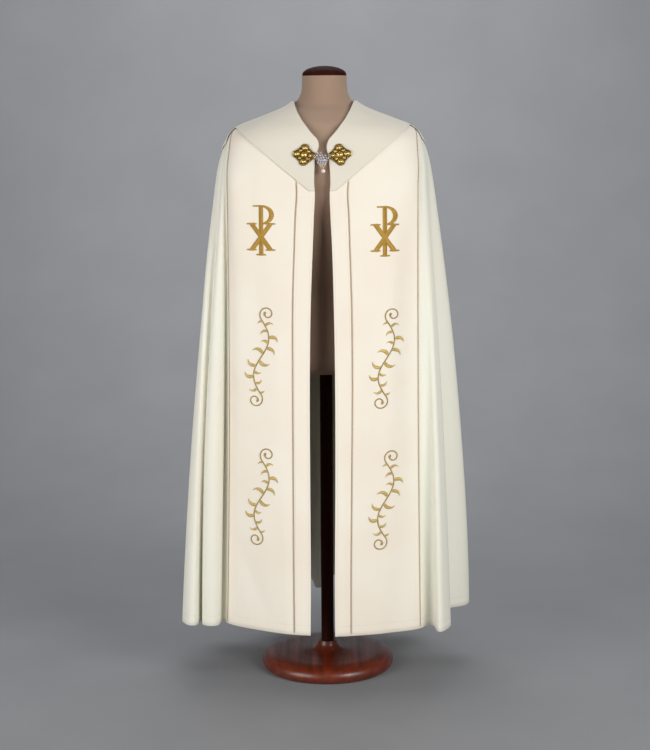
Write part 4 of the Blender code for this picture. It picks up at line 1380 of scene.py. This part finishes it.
@dataclass
class Scroll:
    """One half of an S-shaped leafy scroll; all sizes in millimetres."""

    rise: float = 102.0
    swing: float = 21.0
    curl_radius: float = 22.0
    curl_close: float = 7.0
    curl_turns: float = 1.2
    stem_width: float = 3.4
    leaf_angle: float = 26.0
    leaves: tuple = (
        Leaf(0.06, 1, 36, 130, 9.0),
        Leaf(0.20, -1, 32, 120, 8.5),
        Leaf(0.36, 1, 22, 110, 6.5),
        Leaf(0.48, -1, 31, 140, 9.0),
        Leaf(0.66, 1, 24, 120, 6.5),
        Leaf(0.80, -1, 26, 130, 6.5),
        Leaf(0.92, 1, 16, 90, 5.0),
    )

    @staticmethod
    def walk(start: tuple, heading: float, bends: list, step: float) -> list:
        """Points of a path that turns by a given angle before each equal step.

        Args:
            start: the first point.
            heading: its first direction, in radians.
            bends: the turn before each step, in radians.
            step: the length of a step.

        Returns:
            The points, with the first.
        """
        points, at = [start], np.array(start, dtype=float)
        for bend in bends:
            heading += bend
            at = at + step * np.array((math.cos(heading), math.sin(heading)))
            points.append(tuple(at))
        return points

    def stem(self) -> list:
        """The sine-shaped half of the stem, from the scroll's middle upwards."""
        shares = np.linspace(0.0, 1.0, 13)
        return [(self.swing * math.sin(math.pi * s), self.rise * s) for s in shares]

    def curl(self, start: tuple, heading: float) -> list:
        """The curl at the stem's end, which closes evenly."""
        count = 24
        radii = np.linspace(self.curl_radius, self.curl_close, count)
        total = self.curl_turns * 2 * math.pi
        step = total / float(np.sum(1.0 / radii))
        return self.walk(start, heading, [-step / r for r in radii], step)[1:]

    def leaf(self, line: Array, leaf: Leaf, lift: float) -> Stroke:
        """One leaf that leaves the stem on its side and bends over."""
        at = int(round(leaf.share * (len(line) - 1)))
        ahead = line[at + 1] - line[at]
        heading = math.atan2(ahead[1], ahead[0]) + leaf.side * math.radians(self.leaf_angle)
        count = 7
        points = self.walk(
            tuple(line[at]), heading, [leaf.side * math.radians(leaf.bend) / count] * count,
            leaf.length / count
        )
        shares = np.linspace(0.0, 1.0, count + 1)
        widths = [max(1.6, leaf.width * math.sin(math.pi * share**0.7)) for share in shares]
        return Stroke(points, widths, lift)

    def strokes(self) -> list:
        """All strokes of one half."""
        rising = self.stem()
        last, before = rising[-1], rising[-2]
        heading = math.atan2(last[1] - before[1], last[0] - before[0])
        points = rising + self.curl(last, heading)
        widths = [self.stem_width] * (len(points) - 3) + [self.stem_width * 1.5, self.stem_width * 2.0, self.stem_width]
        line = spline(rising, 4)
        return [Stroke(points, widths, steps=3, tone=0.35)] + [self.leaf(line, leaf, 0.3) for leaf in self.leaves]


@dataclass
class Embroidery:
    """The gold needlework on one front panel."""

    cloth: FrontMap
    height: float = 1.1 * MM
    ring: int = 10
    stretch: float = 1.0

    def stroke(self, bm: bmesh.types.BMesh, stroke: Stroke, centre: tuple, turned: bool = False) -> None:
        """Adds one stroke, and turned half round the centre where asked."""
        flip = -1.0 if turned else 1.0
        wide = self.stretch * flip * MM
        line = spline([(x * wide, z * flip * MM, w * MM) for (x, z), w in zip(stroke.points, stroke.widths)], stroke.steps)
        flat, widths = line[:, :2] + np.array(centre), np.maximum(line[:, 2], 0.6 * MM)
        ahead = unit(np.gradient(flat, axis=0))
        side = np.column_stack((ahead[:, 1], -ahead[:, 0]))
        angles = np.linspace(0.0, 2 * math.pi, self.ring + 1)
        half = widths[:, None] / 2
        x = flat[:, :1] + side[:, :1] * half * np.cos(angles)
        z = flat[:, 1:] + side[:, 1:] * half * np.cos(angles)
        rise = np.minimum(self.height, 0.3 * widths + 0.3 * MM)[:, None] * np.sin(angles)
        lift = np.where(rise > 0, rise, rise * 0.3) + stroke.lift * MM
        rows = self.cloth.lay(x, z, lift)
        ends = [np.repeat(rows[k].mean(axis=0)[None, None], self.ring + 1, axis=1) for k in (0, -1)]
        patch(bm, np.concatenate((ends[0], rows, ends[1])), ends_twice(along(rows.mean(axis=1))), stroke.tone)

    def monogram(self, name: str, centre: tuple) -> bpy.types.Object:
        """The two crossed letters, in padded satin stitch."""
        bm = bmesh.new()
        for stroke in Monogram().strokes():
            self.stroke(bm, stroke, centre)
        return new_piece(name, bm, SATIN_GOLD, (), 70.0)

    def scroll(self, name: str, centre: tuple, stretch: float) -> bpy.types.Object:
        """A leafy scroll: one half, and the same half turned."""
        self.height, self.stretch = 1.8 * MM, stretch
        bm = bmesh.new()
        for stroke in Scroll().strokes():
            self.stroke(bm, stroke, centre)
            self.stroke(bm, stroke, centre, turned=True)
        return new_piece(name, bm, SCROLL_GOLD, (), 70.0)


@dataclass
class Clasp:
    """One four-lobed half of the clasp, in its own frame with +Z outwards."""

    drape: Drape
    vestment: Vestment
    x: float
    z: float = 1.4350
    tilt: float = 7.0
    lift: float = 0.4 * MM
    lobe_reach: float = 19.0 * MM
    lobe_radius: float = 11.5 * MM
    waist: float = 23.0 * MM
    plate: float = 2.2 * MM
    tall: float = 0.95
    spokes: int = 96

    def __post_init__(self) -> None:
        """Finds the clasp's place on the collar."""
        drape = self.drape
        side = math.copysign(1.0, self.x)
        lines = (LEFT_EDGE, LEFT_OUTER) if side < 0 else (RIGHT_OUTER, RIGHT_EDGE)
        tries = np.linspace(*lines, 241)
        row = int(np.argmin(np.abs(drape.heights - self.z)))
        xs = np.interp(tries, drape.places, drape.points[row, :, 0])
        line = float(tries[np.argmin(np.abs(xs - self.x))])
        point, normal, side_way = (Vector(found[0]) for found in drape.at(line, np.array([self.z])))
        lay = float(self.vestment.lay(np.array([self.z]))[0])
        across = -side_way
        turn = Matrix((across, normal.cross(across), normal)).transposed().to_4x4()
        point += normal * (lay + WALL + self.lift)
        self.inner = -side
        tilted = Matrix.Rotation(math.radians(side * self.tilt), 4, "Z") @ Matrix.Diagonal((1.02, self.tall, 1.0, 1.0))
        self.place = Matrix.Translation(point) @ turn @ tilted

    def reach(self, angle: float) -> float:
        """How far the plate reaches at an angle, with a web between the inner and the lowest lobe."""
        off_lobe = (angle + math.pi / 4) % (math.pi / 2) - math.pi / 4
        beside = self.lobe_reach * math.sin(off_lobe)
        found = self.waist
        if abs(beside) <= self.lobe_radius:
            found = max(found, self.lobe_reach * math.cos(off_lobe) + math.sqrt(self.lobe_radius**2 - beside**2))
        inwards, down = math.cos(angle) * self.inner, -math.sin(angle)
        touch = math.atan2(self.lobe_radius / math.sqrt(2), self.lobe_reach + self.lobe_radius / math.sqrt(2))
        if min(inwards, down) > math.sin(touch):
            found = max(found, 0.97 * (self.lobe_reach + self.lobe_radius * math.sqrt(2)) / (inwards + down))
        return found

    def outline(self, share: float, height: float) -> Array:
        """A ring of points at a share of the plate's reach."""
        angles = np.linspace(0.0, 2 * math.pi, self.spokes + 1)
        return np.array([(self.reach(a) * share * math.cos(a), self.reach(a) * share * math.sin(a), height) for a in angles])

    def set_in(self, points: Array) -> Array:
        """Points of the clasp's own frame as places on the object."""
        turn, shift = np.array(self.place.to_3x3()), np.array(self.place.translation)
        return points @ turn.T + shift

    def ball(
        self, bm: bmesh.types.BMesh, x: float, y: float, z: float, radius: float, height: float = 1.0,
        detail: int = 2, tone: float = 0.0
    ) -> None:
        """A ball or dome on the clasp, with its height as a share of its radius."""
        centre = self.place @ Vector((x, y, z))
        bead(bm, centre, radius, detail, (1.0, 1.0, height), self.place.to_3x3(), tone)

    def wire(self, bm: bmesh.types.BMesh, points: list, radius: float, steps: int = 4) -> None:
        """A bent wire laid on the clasp."""
        line = spline(points, steps)
        rod(bm, self.set_in(line), radius, 6, tuple(self.place.to_3x3() @ Vector((0, 0, 1))), 0.1)

    def loop(self, bm: bmesh.types.BMesh, x: float, y: float, z: float, radius: float, wire: float) -> None:
        """A ring of wire laid flat."""
        turns = np.linspace(0, 2 * math.pi, 25)
        ring = np.column_stack((x + radius * np.cos(turns), y + radius * np.sin(turns), np.full(25, z)))
        self.band(bm, ring, wire)

    def band(self, bm: bmesh.types.BMesh, ring: Array, wire: float) -> None:
        """A closed wire through a ring of points whose ends meet."""
        centre = ring[:-1].mean(axis=0)
        out = unit(ring - centre)
        angles = np.linspace(0, 2 * math.pi, 7)[None, :, None]
        up = np.array((0.0, 0.0, 1.0))[None, None]
        rows = ring[:, None] + out[:, None] * np.cos(angles) * wire + up * np.sin(angles) * wire
        patch(bm, self.set_in(rows.reshape(-1, 3)).reshape(rows.shape), along(ring), 0.15)

    def build(self, name: str, node: str) -> bpy.types.Object:
        """Builds the plate, its rim, domes, beads and wires as one casting."""
        bm = bmesh.new()
        flat, top = 0.0, self.plate
        rings = [
            (0.002, flat), (0.5, flat), (0.97, flat), (1.0, 0.3 * MM), (1.0, top - 0.4 * MM), (0.97, top),
            (0.88, top - 0.3 * MM)
        ]
        rings += [(0.6, top - 0.2 * MM), (0.3, top), (0.002, top)]
        rows = np.array([self.outline(share, height) for share, height in rings])
        patch(bm, self.set_in(rows.reshape(-1, 3)).reshape(rows.shape), tone=0.78)
        self.band(bm, self.outline(0.955, top + 0.3 * MM), 0.75 * MM)
        steps = 64
        for i in range(steps):
            angle = 2 * math.pi * i / steps
            reach = self.reach(angle) * 0.86
            self.ball(bm, reach * math.cos(angle), reach * math.sin(angle), top + 0.3 * MM, 0.62 * MM, detail=1)
        self.ball(bm, 0, 0, top, 6.0 * MM, 0.66, 3)
        self.loop(bm, 0, 0, top + 0.3 * MM, 6.7 * MM, 0.6 * MM)
        for i in range(16):
            angle = 2 * math.pi * i / 16
            self.ball(bm, 8.2 * MM * math.cos(angle), 8.2 * MM * math.sin(angle), top + 0.3 * MM, 0.95 * MM)
        for quarter in range(4):
            angle = quarter * math.pi / 2
            ahead = (math.cos(angle), math.sin(angle))
            aside = (-ahead[1], ahead[0])
            x, y = ahead[0] * self.lobe_reach, ahead[1] * self.lobe_reach
            inner_lobe = ahead[0] * self.inner > 0.5
            self.ball(bm, x, y, top, (4.2 if inner_lobe else 5.2) * MM, 0.72, 3)
            self.loop(bm, x, y, top + 0.25 * MM, 6.3 * MM, 0.65 * MM)
            for i in range(9):
                turn = angle + math.pi * (i - 4) / 6
                self.ball(bm, x + 8.1 * MM * math.cos(turn), y + 8.1 * MM * math.sin(turn), top + 0.3 * MM, 0.9 * MM)
            for sign in (-1, 1):
                curl = [
                    (11.5, 1.6), (13.2, 4.6), (11.6, 7.4), (8.9, 7.2), (8.6, 4.9), (10.4, 4.6),
                ]
                points = [
                    (
                        MM * (a * ahead[0] + sign * b * aside[0]), MM * (a * ahead[1] + sign * b * aside[1]),
                        top + 0.5 * MM
                    )
                    for a, b in curl
                ]
                self.wire(bm, points, 0.55 * MM)
            corner = angle + math.pi / 4
            self.ball(bm, 14.6 * MM * math.cos(corner), 14.6 * MM * math.sin(corner), top, 3.0 * MM, 0.8, 2)
            self.loop(
                bm, 14.6 * MM * math.cos(corner), 14.6 * MM * math.sin(corner), top + 0.2 * MM, 3.6 * MM,
                0.45 * MM
            )
        for i in range(4):
            x = self.inner * (26.0 + 1.5 * i) * MM
            turns = np.linspace(0, 2 * math.pi, 17)
            ring = np.column_stack((np.full(17, x), 2.6 * MM * np.cos(turns), top + 0.6 * MM + 1.7 * MM * np.sin(turns)))
            rows = []
            for k in range(17):
                out = unit((ring[k] - np.array((x, 0, top + 0.6 * MM)))[None])[0]
                spin = np.linspace(0, 2 * math.pi, 7)[:, None]
                rows.append(ring[k] + out * np.cos(spin) * 0.7 * MM + np.array((1.0, 0, 0)) * np.sin(spin) * 0.7 * MM)
            rows = np.array(rows)
            patch(bm, self.set_in(rows.reshape(-1, 3)).reshape(rows.shape), tone=0.1)
        return new_piece(name, bm, GILT, (node,), 60.0)


@dataclass
class Fastening:
    """The chain between the two halves, its crystals and the pearl that hangs from it."""

    left: Clasp
    right: Clasp
    wire: float = 0.5 * MM
    sag: float = 9.0 * MM
    clearance: float = 0.4 * MM
    chain_radius: float = 1.3 * MM
    pearl_radius: float = 5.2 * MM
    pearl_aside: float = 3.5 * MM
    crystal_radius: float = 8.0 * MM

    def ends(self) -> tuple:
        """Where the chain meets the inner lobes."""
        reach = self.left.lobe_reach + self.left.lobe_radius / 2
        lift = self.left.plate + 3.3 * MM + self.chain_radius + self.clearance
        return self.left.place @ Vector((reach, 0, lift)), self.right.place @ Vector((-reach, 0, lift))

    def hang(self, sag: float, count: int) -> Array:
        """The points of a hanging strand."""
        left, right = self.ends()
        shares = np.linspace(0.0, 1.0, count)
        line = np.array([tuple(left.lerp(right, share)) for share in shares])
        line[:, 2] -= sag * 4 * shares * (1 - shares)
        return line

    def strand(self, bm: bmesh.types.BMesh, line: Array, long: float = 2.5 * MM, wide: float = 1.6 * MM) -> None:
        """Adds links along a line, each turned a quarter from the last."""
        length = along(line)
        centres = np.arange(0.0, length[-1], long * 1.45)
        for i, at in enumerate(centres):
            centre = np.array([np.interp(at, length, line[:, k]) for k in range(3)])
            ahead = np.array([np.interp(min(at + MM, length[-1]), length, line[:, k]) for k in range(3)]) - centre
            ahead = unit(ahead[None])[0] if np.linalg.norm(ahead) > 1e-9 else np.array((1.0, 0, 0))
            out = np.array((0.0, -1.0, 0.0))
            side = unit(np.cross(out, ahead)[None])[0]
            out = np.cross(ahead, side)
            if i % 2:
                side, out = (side + out) / math.sqrt(2), (out - side) / math.sqrt(2)
            turns = np.linspace(0, 2 * math.pi, 15)[:, None]
            ring = centre + ahead * np.cos(turns) * long + side * np.sin(turns) * wide
            spin = np.linspace(0, 2 * math.pi, 7)[None, :, None]
            away = unit(ring - centre)
            rows = ring[:, None] + away[:, None] * np.cos(spin) * self.wire + out[None, None] * np.sin(spin) * self.wire
            patch(bm, rows, tone=0.05)

    def build(self) -> None:
        """Builds the chain, the crystals, their gilt caps and the pearl."""
        bm = bmesh.new()
        main = self.hang(self.sag, 33)
        second = self.hang(self.sag * 1.7, 33)
        second[:, 1] -= 1.5 * MM
        self.strand(bm, main)
        self.strand(bm, second)
        lowest = main[16]
        top = lowest[2] - self.chain_radius
        crystal_low = top - 3.2 * self.crystal_radius
        pearl_z = crystal_low - 0.8 * self.pearl_radius
        drop = np.array([(lowest[0], lowest[1], z) for z in np.linspace(lowest[2], crystal_low, 9)])
        self.strand(bm, drop)
        new_piece("clasp_chain_links", bm, SILVER, ("clasp_chain",), 80.0)

        bm = bmesh.new()
        spots = [
            (-10.5, 17.0, 3.0), (-3.0, 17.5, 2.8), (-13.0, 10.5, 3.0), (-6.5, 11.5, 3.2), (0.5, 11.0, 3.0), (
                9.5, 10.5, 2.8
            ),
            (-9.5, 4.5, 3.4), (-3.0, 5.0, 3.4), (4.5, 5.5, 3.4), (12.0, 5.0, 3.0), (-8.0, -1.5, 3.4), (-1.0, -1.0, 3.8),
            (6.5, -1.0, 3.6), (12.5, -2.0, 2.8), (-10.5, -7.5, 3.0), (-4.0, -7.5, 3.6), (3.0, -7.5, 3.8), (
                9.5, -7.5, 3.4
            ),
            (-5.5, -13.0, 3.2), (1.5, -13.5, 3.4), (8.5, -13.5, 3.2),
        ]
        for i, (x, z, radius) in enumerate(spots):
            turn = Matrix.Rotation(0.7 * i, 3, "Y") @ Matrix.Rotation(0.5 * i + 0.3, 3, "X")
            forward = (1.6 + 1.2 * (i % 3)) * MM
            bead(bm, Vector((lowest[0] + x * MM, lowest[1] - forward, top + z * MM)), radius * MM, 1, (1, 1, 1.1), turn)
        new_piece("clasp_crystals", bm, GLASS, ("clasp_pendant",), 1.0)

        bm = bmesh.new()
        for x, z, radius in (
            (-3.5, -18.5, 2.6), (7.0, -17.0, 2.6), (2.5, -20.5, 2.8), (11.0, 2.0, 1.8), (-8.0, -4.5, 1.6),
            (5.5, 2.0, 1.6), (9.0, -11.0, 1.6)
        ):
            bead(bm, Vector((lowest[0] + x * MM, lowest[1] - 4.6 * MM, top + z * MM)), radius * MM, 2, (1, 1, 0.7))
        hung = lowest[0] + self.pearl_aside
        neck = np.array([(hung, lowest[1] - 1.6 * MM, z) for z in np.linspace(top - 18 * MM, pearl_z + 3.5 * MM, 5)])
        rod(bm, neck, 0.9 * MM, 8, (0.0, 1.0, 0.0))
        new_piece("clasp_drop_caps", bm, GILT, (), 60.0)

        bm = bmesh.new()
        bead(bm, Vector((hung, lowest[1] - 1.6 * MM, pearl_z)), self.pearl_radius, 4)
        new_piece("clasp_pearl", bm, PEARL, (), 60.0)


class Girth(NamedTuple):
    """One level section of the padded body or its neck."""

    z: float
    half_width: float
    front: float
    back: float
    power: float


@dataclass
class DressForm:
    """The limbless padded body with its neck cap, pole and round base."""

    drape: Drape
    sides: int = 96
    clearance: float = 1.2 * MM
    ease: float = 2.5 * MM
    neck_top: float = 1.642
    cap_radius: float = 0.0592
    cap_height: float = 0.0260
    pole_radius: float = 0.0175
    base_radius: float = 0.1845
    join: float = 0.3 * MM
    body: tuple = (
        Girth(0.8450, 0.1480, 0.0980, 0.1040, 2.2),
        Girth(0.8600, 0.1660, 0.1130, 0.1210, 2.2),
        Girth(0.9300, 0.1760, 0.1180, 0.1280, 2.2),
        Girth(1.0100, 0.1670, 0.1110, 0.1160, 2.2),
        Girth(1.0900, 0.1530, 0.1030, 0.1020, 2.2),
        Girth(1.1700, 0.1590, 0.1080, 0.1060, 2.2),
        Girth(1.2500, 0.1730, 0.1170, 0.1150, 2.2),
        Girth(1.3200, 0.1850, 0.1260, 0.1240, 2.2),
        Girth(1.3800, 0.1920, 0.1280, 0.1290, 2.2),
        Girth(1.4350, 0.1970, 0.1250, 0.1270, 2.2),
        Girth(1.4750, 0.1990, 0.1160, 0.1160, 2.2),
        Girth(1.5010, 0.1960, 0.1060, 0.1060, 2.1),
    )
    neck: tuple = (
        Girth(1.5660, 0.0810, 0.0690, 0.0740, 2.0),
        Girth(1.5840, 0.0690, 0.0640, 0.0675, 2.0),
        Girth(1.5980, 0.0630, 0.0612, 0.0630, 2.0),
        Girth(1.6150, 0.0607, 0.0600, 0.0610, 2.0),
        Girth(1.6420, 0.0604, 0.0604, 0.0604, 2.0),
    )

    def body_ring(self, girth: Girth) -> Array:
        """One level section of the padded body."""
        level = Level(*girth, 0, 0, 0, 0)
        angles = np.linspace(0, 360, self.sides + 1)
        return np.array([(*on_oval(level, angle), girth.z) for angle in angles])

    def shoulder_ring(self, z: float) -> Array:
        """One section of the shoulders, just inside the cloth that lies on them."""
        rise, turn = 2 * MM, 2.0
        ring = []
        for angle in np.linspace(0, 360, self.sides + 1):
            below, above = (on_oval(shoulder_level(height), angle) for height in (z - rise, z + rise))
            up = np.append(above - below, 2 * rise)
            sideways = np.append(
                on_oval(shoulder_level(z), angle + turn) - on_oval(shoulder_level(z), angle - turn), 0.0
            )
            inset = WALL + self.clearance + self.ease * math.cos(math.radians(angle)) ** 2
            centre = np.append(on_oval(shoulder_level(z), angle), z)
            ring.append(centre - unit(np.cross(up, sideways)[None])[0] * inset)
        return np.array(ring)

    def torso(self) -> bpy.types.Object:
        """The padded body, smooth from its underside to the top of its neck."""
        shoulders = [self.shoulder_ring(level.z) for level in SHOULDERS if 1.52 < level.z < 1.56]
        knots = [self.body_ring(girth) for girth in self.body] + shoulders + [self.body_ring(girth) for girth in self.neck]
        knots = np.array(knots)
        steps = 5
        rows = []
        for i in range(len(knots) - 1):
            before = knots[i - 1] if i > 0 else 2 * knots[0] - knots[1]
            after = knots[i + 2] if i + 2 < len(knots) else 2 * knots[-1] - knots[-2]
            four = [before, knots[i], knots[i + 1], after]
            spans = [np.maximum(np.linalg.norm(b - a, axis=1, keepdims=True), 1e-6) for a, b in zip(four, four[1:])]
            rows += [smooth(four, spans, k / steps) for k in range(steps)]
        rows = np.array(rows + [knots[-1]])
        low = rows[0].mean(axis=0)
        high = rows[-1].mean(axis=0)
        inward = [low + (rows[0] - low) * share for share in (0.002, 0.5, 0.9, 0.98)]
        over = [high + (rows[-1] - high) * share for share in (0.98, 0.6, 0.002)]
        for ring in inward[:3]:
            ring[:, 2] -= 0.2 * MM
        points = np.concatenate((inward, rows, over))
        bm = bmesh.new()
        patch(bm, points)
        piece = new_piece("dress_form_body", bm, LINEN, ("form_torso",), 40.0)
        self.weave_map(piece, points)
        return piece

    @staticmethod
    def weave_map(piece: bpy.types.Object, points: Array) -> None:
        """Turns the piece's UV map into metres round and up, for its weave."""
        layer = piece.data.uv_layers["thread"]
        layer.name = "cloth"
        uvs = np.empty(len(piece.data.loops) * 2)
        layer.data.foreach_get("uv", uvs)
        around = float(np.linalg.norm(np.diff(points[len(points) // 2], axis=0), axis=1).sum())
        climb = along(points[:, 0])
        uvs = uvs.reshape(-1, 2)
        uvs[:, 0] *= around
        uvs[:, 1] = np.interp(uvs[:, 1], np.linspace(0, 1, len(climb)), climb)
        layer.data.foreach_set("uv", uvs.ravel())

    def turned(self, name: str, profile: list, finish: Finish, node: str, steps: int = 4) -> bpy.types.Object:
        """A turned piece from its outline, as (radius, height) from the bottom up."""
        line = spline(profile, steps)
        angles = np.linspace(0, 2 * math.pi, self.sides + 1)
        rows = [np.column_stack((r * np.cos(angles), r * np.sin(angles), np.full(len(angles), z))) for r, z in line]
        first, last = line[0], line[-1]
        closing = [(0.002 * MM, first[1]), (first[0] * 0.97, first[1])], [
            (last[0] * 0.97, last[1]), (0.002 * MM, last[1])
        ]
        starts, finals = (
            [np.column_stack((r * np.cos(angles), r * np.sin(angles), np.full(len(angles), z))) for r, z in pair] for pair in closing
        )
        bm = bmesh.new()
        patch(bm, np.array(starts + rows + finals))
        return new_piece(name, bm, finish, (node,), 38.0)

    def build(self) -> None:
        """Builds the body, the cap, the pole and the base."""
        self.torso()
        low, rim = self.neck_top + self.join, 3.0 * MM
        cap = [(self.cap_radius - 1.2 * MM, low), (self.cap_radius, low + 1.2 * MM), (self.cap_radius, low + rim)]
        for angle in (0.2, 0.45, 0.7, 0.95, 1.15, 1.35, 1.48):
            cap.append((self.cap_radius * math.cos(angle), low + rim + (self.cap_height - rim) * math.sin(angle)))
        self.turned("dress_form_cap", cap, CAP_WOOD, "form_cap", 3)
        base = [
            (self.base_radius - 10.5 * MM, 0.0), (self.base_radius - 3.0 * MM, 6.0 * MM), (self.base_radius, 16.0 * MM),
            (self.base_radius - 3.0 * MM, 28.0 * MM), (self.base_radius - 12.0 * MM, 37.0 * MM), (
                self.base_radius - 28.0 * MM, 41.5 * MM
            ),
            (0.110, 43.0 * MM), (0.062, 45.0 * MM), (0.040, 49.0 * MM), (0.030, 58.0 * MM), (0.025, 72.0 * MM),
        ]
        self.turned("dress_form_base", base, BASE_WOOD, "form_base", 5)
        low, high = 72.3 * MM, 0.845 - self.join
        pole = [
            (self.pole_radius, low), (self.pole_radius, low + 0.25), (self.pole_radius, low + 0.5),
            (self.pole_radius, high)
        ]
        self.turned("dress_form_pole", pole, CAP_WOOD, "form_pole", 2)


# The studio's lamps: name, place, aim, size in metres, power in watts, colour
LAMPS = (
    ("right", (2.1, -2.5, 1.75), (0.0, 0.0, 1.25), 1.9, 75.0, (1.0, 0.985, 0.955)),
    ("left", (-2.3, -2.2, 1.15), (0.0, 0.0, 1.2), 2.2, 60.0, (1.0, 0.988, 0.965)),
    ("above", (0.0, 0.8, 4.2), (0.0, 0.0, 0.6), 2.6, 14.0, (0.94, 0.97, 1.0)),
    ("wall", (0.0, 1.9, 3.6), (0.0, 3.6, 1.2), 3.0, 70.0, (0.97, 0.98, 1.0)),
)
WORLD_STRENGTH = 0.2
WORLD_COLOUR = (0.92, 0.95, 1.0, 1.0)
PAPER_SHADES = (linear(143, 144, 147), linear(138, 139, 142))
PAPER_ROUGHNESS = 0.85


@dataclass
class Studio:
    """The pale floor that curves up behind, the soft lights and the camera."""

    camera_place: tuple = (-0.003, -4.5, 1.55)
    pitch: float = 9.1
    lean: float = 0.345
    focal: float = 79.25
    wall_y: float = 3.6
    bend: float = 2.4

    def camera(self) -> None:
        """Makes the camera."""
        data = bpy.data.cameras.new("view")
        data.lens, data.sensor_width, data.sensor_fit = self.focal, 36.0, "AUTO"
        data.clip_end = 60.0
        eye = bpy.data.objects.new("view", data)
        turn = Matrix.Rotation(math.radians(90 - self.pitch), 4, "X") @ Matrix.Rotation(
            math.radians(-self.lean), 4, "Z"
        )
        eye.matrix_world = Matrix.Translation(self.camera_place) @ turn
        bpy.context.scene.collection.objects.link(eye)
        bpy.context.scene.camera = eye

    def light(
        self, name: str, place: tuple, aim: tuple, size: float, power: float, colour: tuple = (1.0, 1.0, 1.0)
    ) -> None:
        """Makes one large soft light."""
        data = bpy.data.lights.new(name, "AREA")
        data.shape, data.size, data.energy, data.color = "DISK", size, power, colour
        lamp = bpy.data.objects.new(name, data)
        lamp.location = place
        lamp.rotation_euler = (Vector(aim) - Vector(place)).to_track_quat("-Z", "Y").to_euler()
        bpy.context.scene.collection.objects.link(lamp)

    def floor(self) -> None:
        """The floor and the wall behind it, one sheet with a wide bend."""
        bm = bmesh.new()
        made = bmesh.ops.create_grid(bm, x_segments=2, y_segments=96, size=0.5)["verts"]
        straight = self.wall_y - self.bend + 9.0
        total = straight + self.bend * math.pi / 2 + 6.0
        for vertex in made:
            at = (vertex.co.y + 0.5) * total
            x = vertex.co.x * 24.0
            if at < straight:
                vertex.co = (x, at - 9.0, 0.0)
            elif at < straight + self.bend * math.pi / 2:
                turn = (at - straight) / self.bend
                vertex.co = (x, self.wall_y - self.bend + self.bend * math.sin(turn), self.bend * (1 - math.cos(turn)))
            else:
                vertex.co = (x, self.wall_y, self.bend + at - straight - self.bend * math.pi / 2)
        mesh = bpy.data.meshes.new("studio_floor")
        bm.to_mesh(mesh)
        bm.free()
        mesh.shade_smooth()
        paper = bpy.data.materials.new("backdrop_paper")
        paper.use_nodes = True
        tree = Tree(paper.node_tree)
        shader = paper.node_tree.nodes["Principled BSDF"]
        soft = tree.noise(Finish.place(tree), 3.0, 3.0)
        tree.put(shader.inputs["Base Color"], tree.blend(tree.spread(soft, 0.3, 0.7), *PAPER_SHADES))
        shader.inputs["Roughness"].default_value = PAPER_ROUGHNESS
        facing = paper.node_tree.nodes.new("ShaderNodeNewGeometry").outputs["Backfacing"]
        tree.put(shader.inputs["Alpha"], tree.maths("SUBTRACT", 1.0, facing))
        mesh.materials.append(paper)
        sheet = bpy.data.objects.new("studio_floor", mesh)
        bpy.context.scene.collection.objects.link(sheet)

    def build(self) -> None:
        """Makes the floor, the world and the lights."""
        self.floor()
        world = bpy.data.worlds.new("studio")
        world.use_nodes = True
        back = world.node_tree.nodes["Background"]
        back.inputs["Color"].default_value = WORLD_COLOUR
        back.inputs["Strength"].default_value = WORLD_STRENGTH
        bpy.context.scene.world = world
        bpy.context.scene.view_settings.view_transform = "Standard"
        for lamp in LAMPS:
            self.light(*lamp)


MONOGRAM_LEFT = (-0.1694, 1.240)
MONOGRAM_RIGHT = (0.157, 1.236)
SCROLLS_LEFT = (("upper", (-0.1723, 0.9045)), ("lower", (-0.1748, 0.5295)))
SCROLLS_RIGHT = (("upper", (0.1597, 0.9005)), ("lower", (0.1567, 0.5245)))


def main() -> None:
    """Dresses the whole object."""
    logging.basicConfig(level=logging.INFO, format="%(message)s")
    Studio().camera()
    drape = Drape()
    vestment = Vestment(drape)
    cloths = vestment.build()
    cords = Cords(drape, vestment).build()

    edges = vestment.collar_edges()
    stitching = Stitching(drape)
    bm = bmesh.new()
    for line, offsets in ((LEFT_EDGE, (0.005, 0.040)), (RIGHT_EDGE, (-0.005, -0.040))):
        for offset in offsets:
            top = float(edges[drape.column_of(line)]) - 0.012
            stitching.beside(bm, line, offset, HEM_Z + 0.012, top)
    new_piece("edge_stitches", bm, SEWING, (), 80.0)
    bm = bmesh.new()
    stitching.around(bm, LEFT_EDGE, RIGHT_EDGE, 0.022)
    new_piece("hem_stitches", bm, SEWING, (), 80.0)

    for side, centre, scrolls, name in (
        (-1, MONOGRAM_LEFT, SCROLLS_LEFT, "left"), (1, MONOGRAM_RIGHT, SCROLLS_RIGHT, "right")
    ):
        needlework = Embroidery(FrontMap(drape, side))
        needlework.monogram(f"monogram_{name}", centre)
        for level, place in scrolls:
            needlework.scroll(f"scroll_{level}_{name}", place, 1.0 if side < 0 else 1.05)

    left = Clasp(drape, vestment, -0.0544)
    right = Clasp(drape, vestment, 0.0395)
    left.build("clasp_left_gilt", "clasp_left")
    right.build("clasp_right_gilt", "clasp_right")
    Fastening(left, right).build()
    DressForm(drape).build()
    Studio().build()


if __name__ == "__main__":
    main()
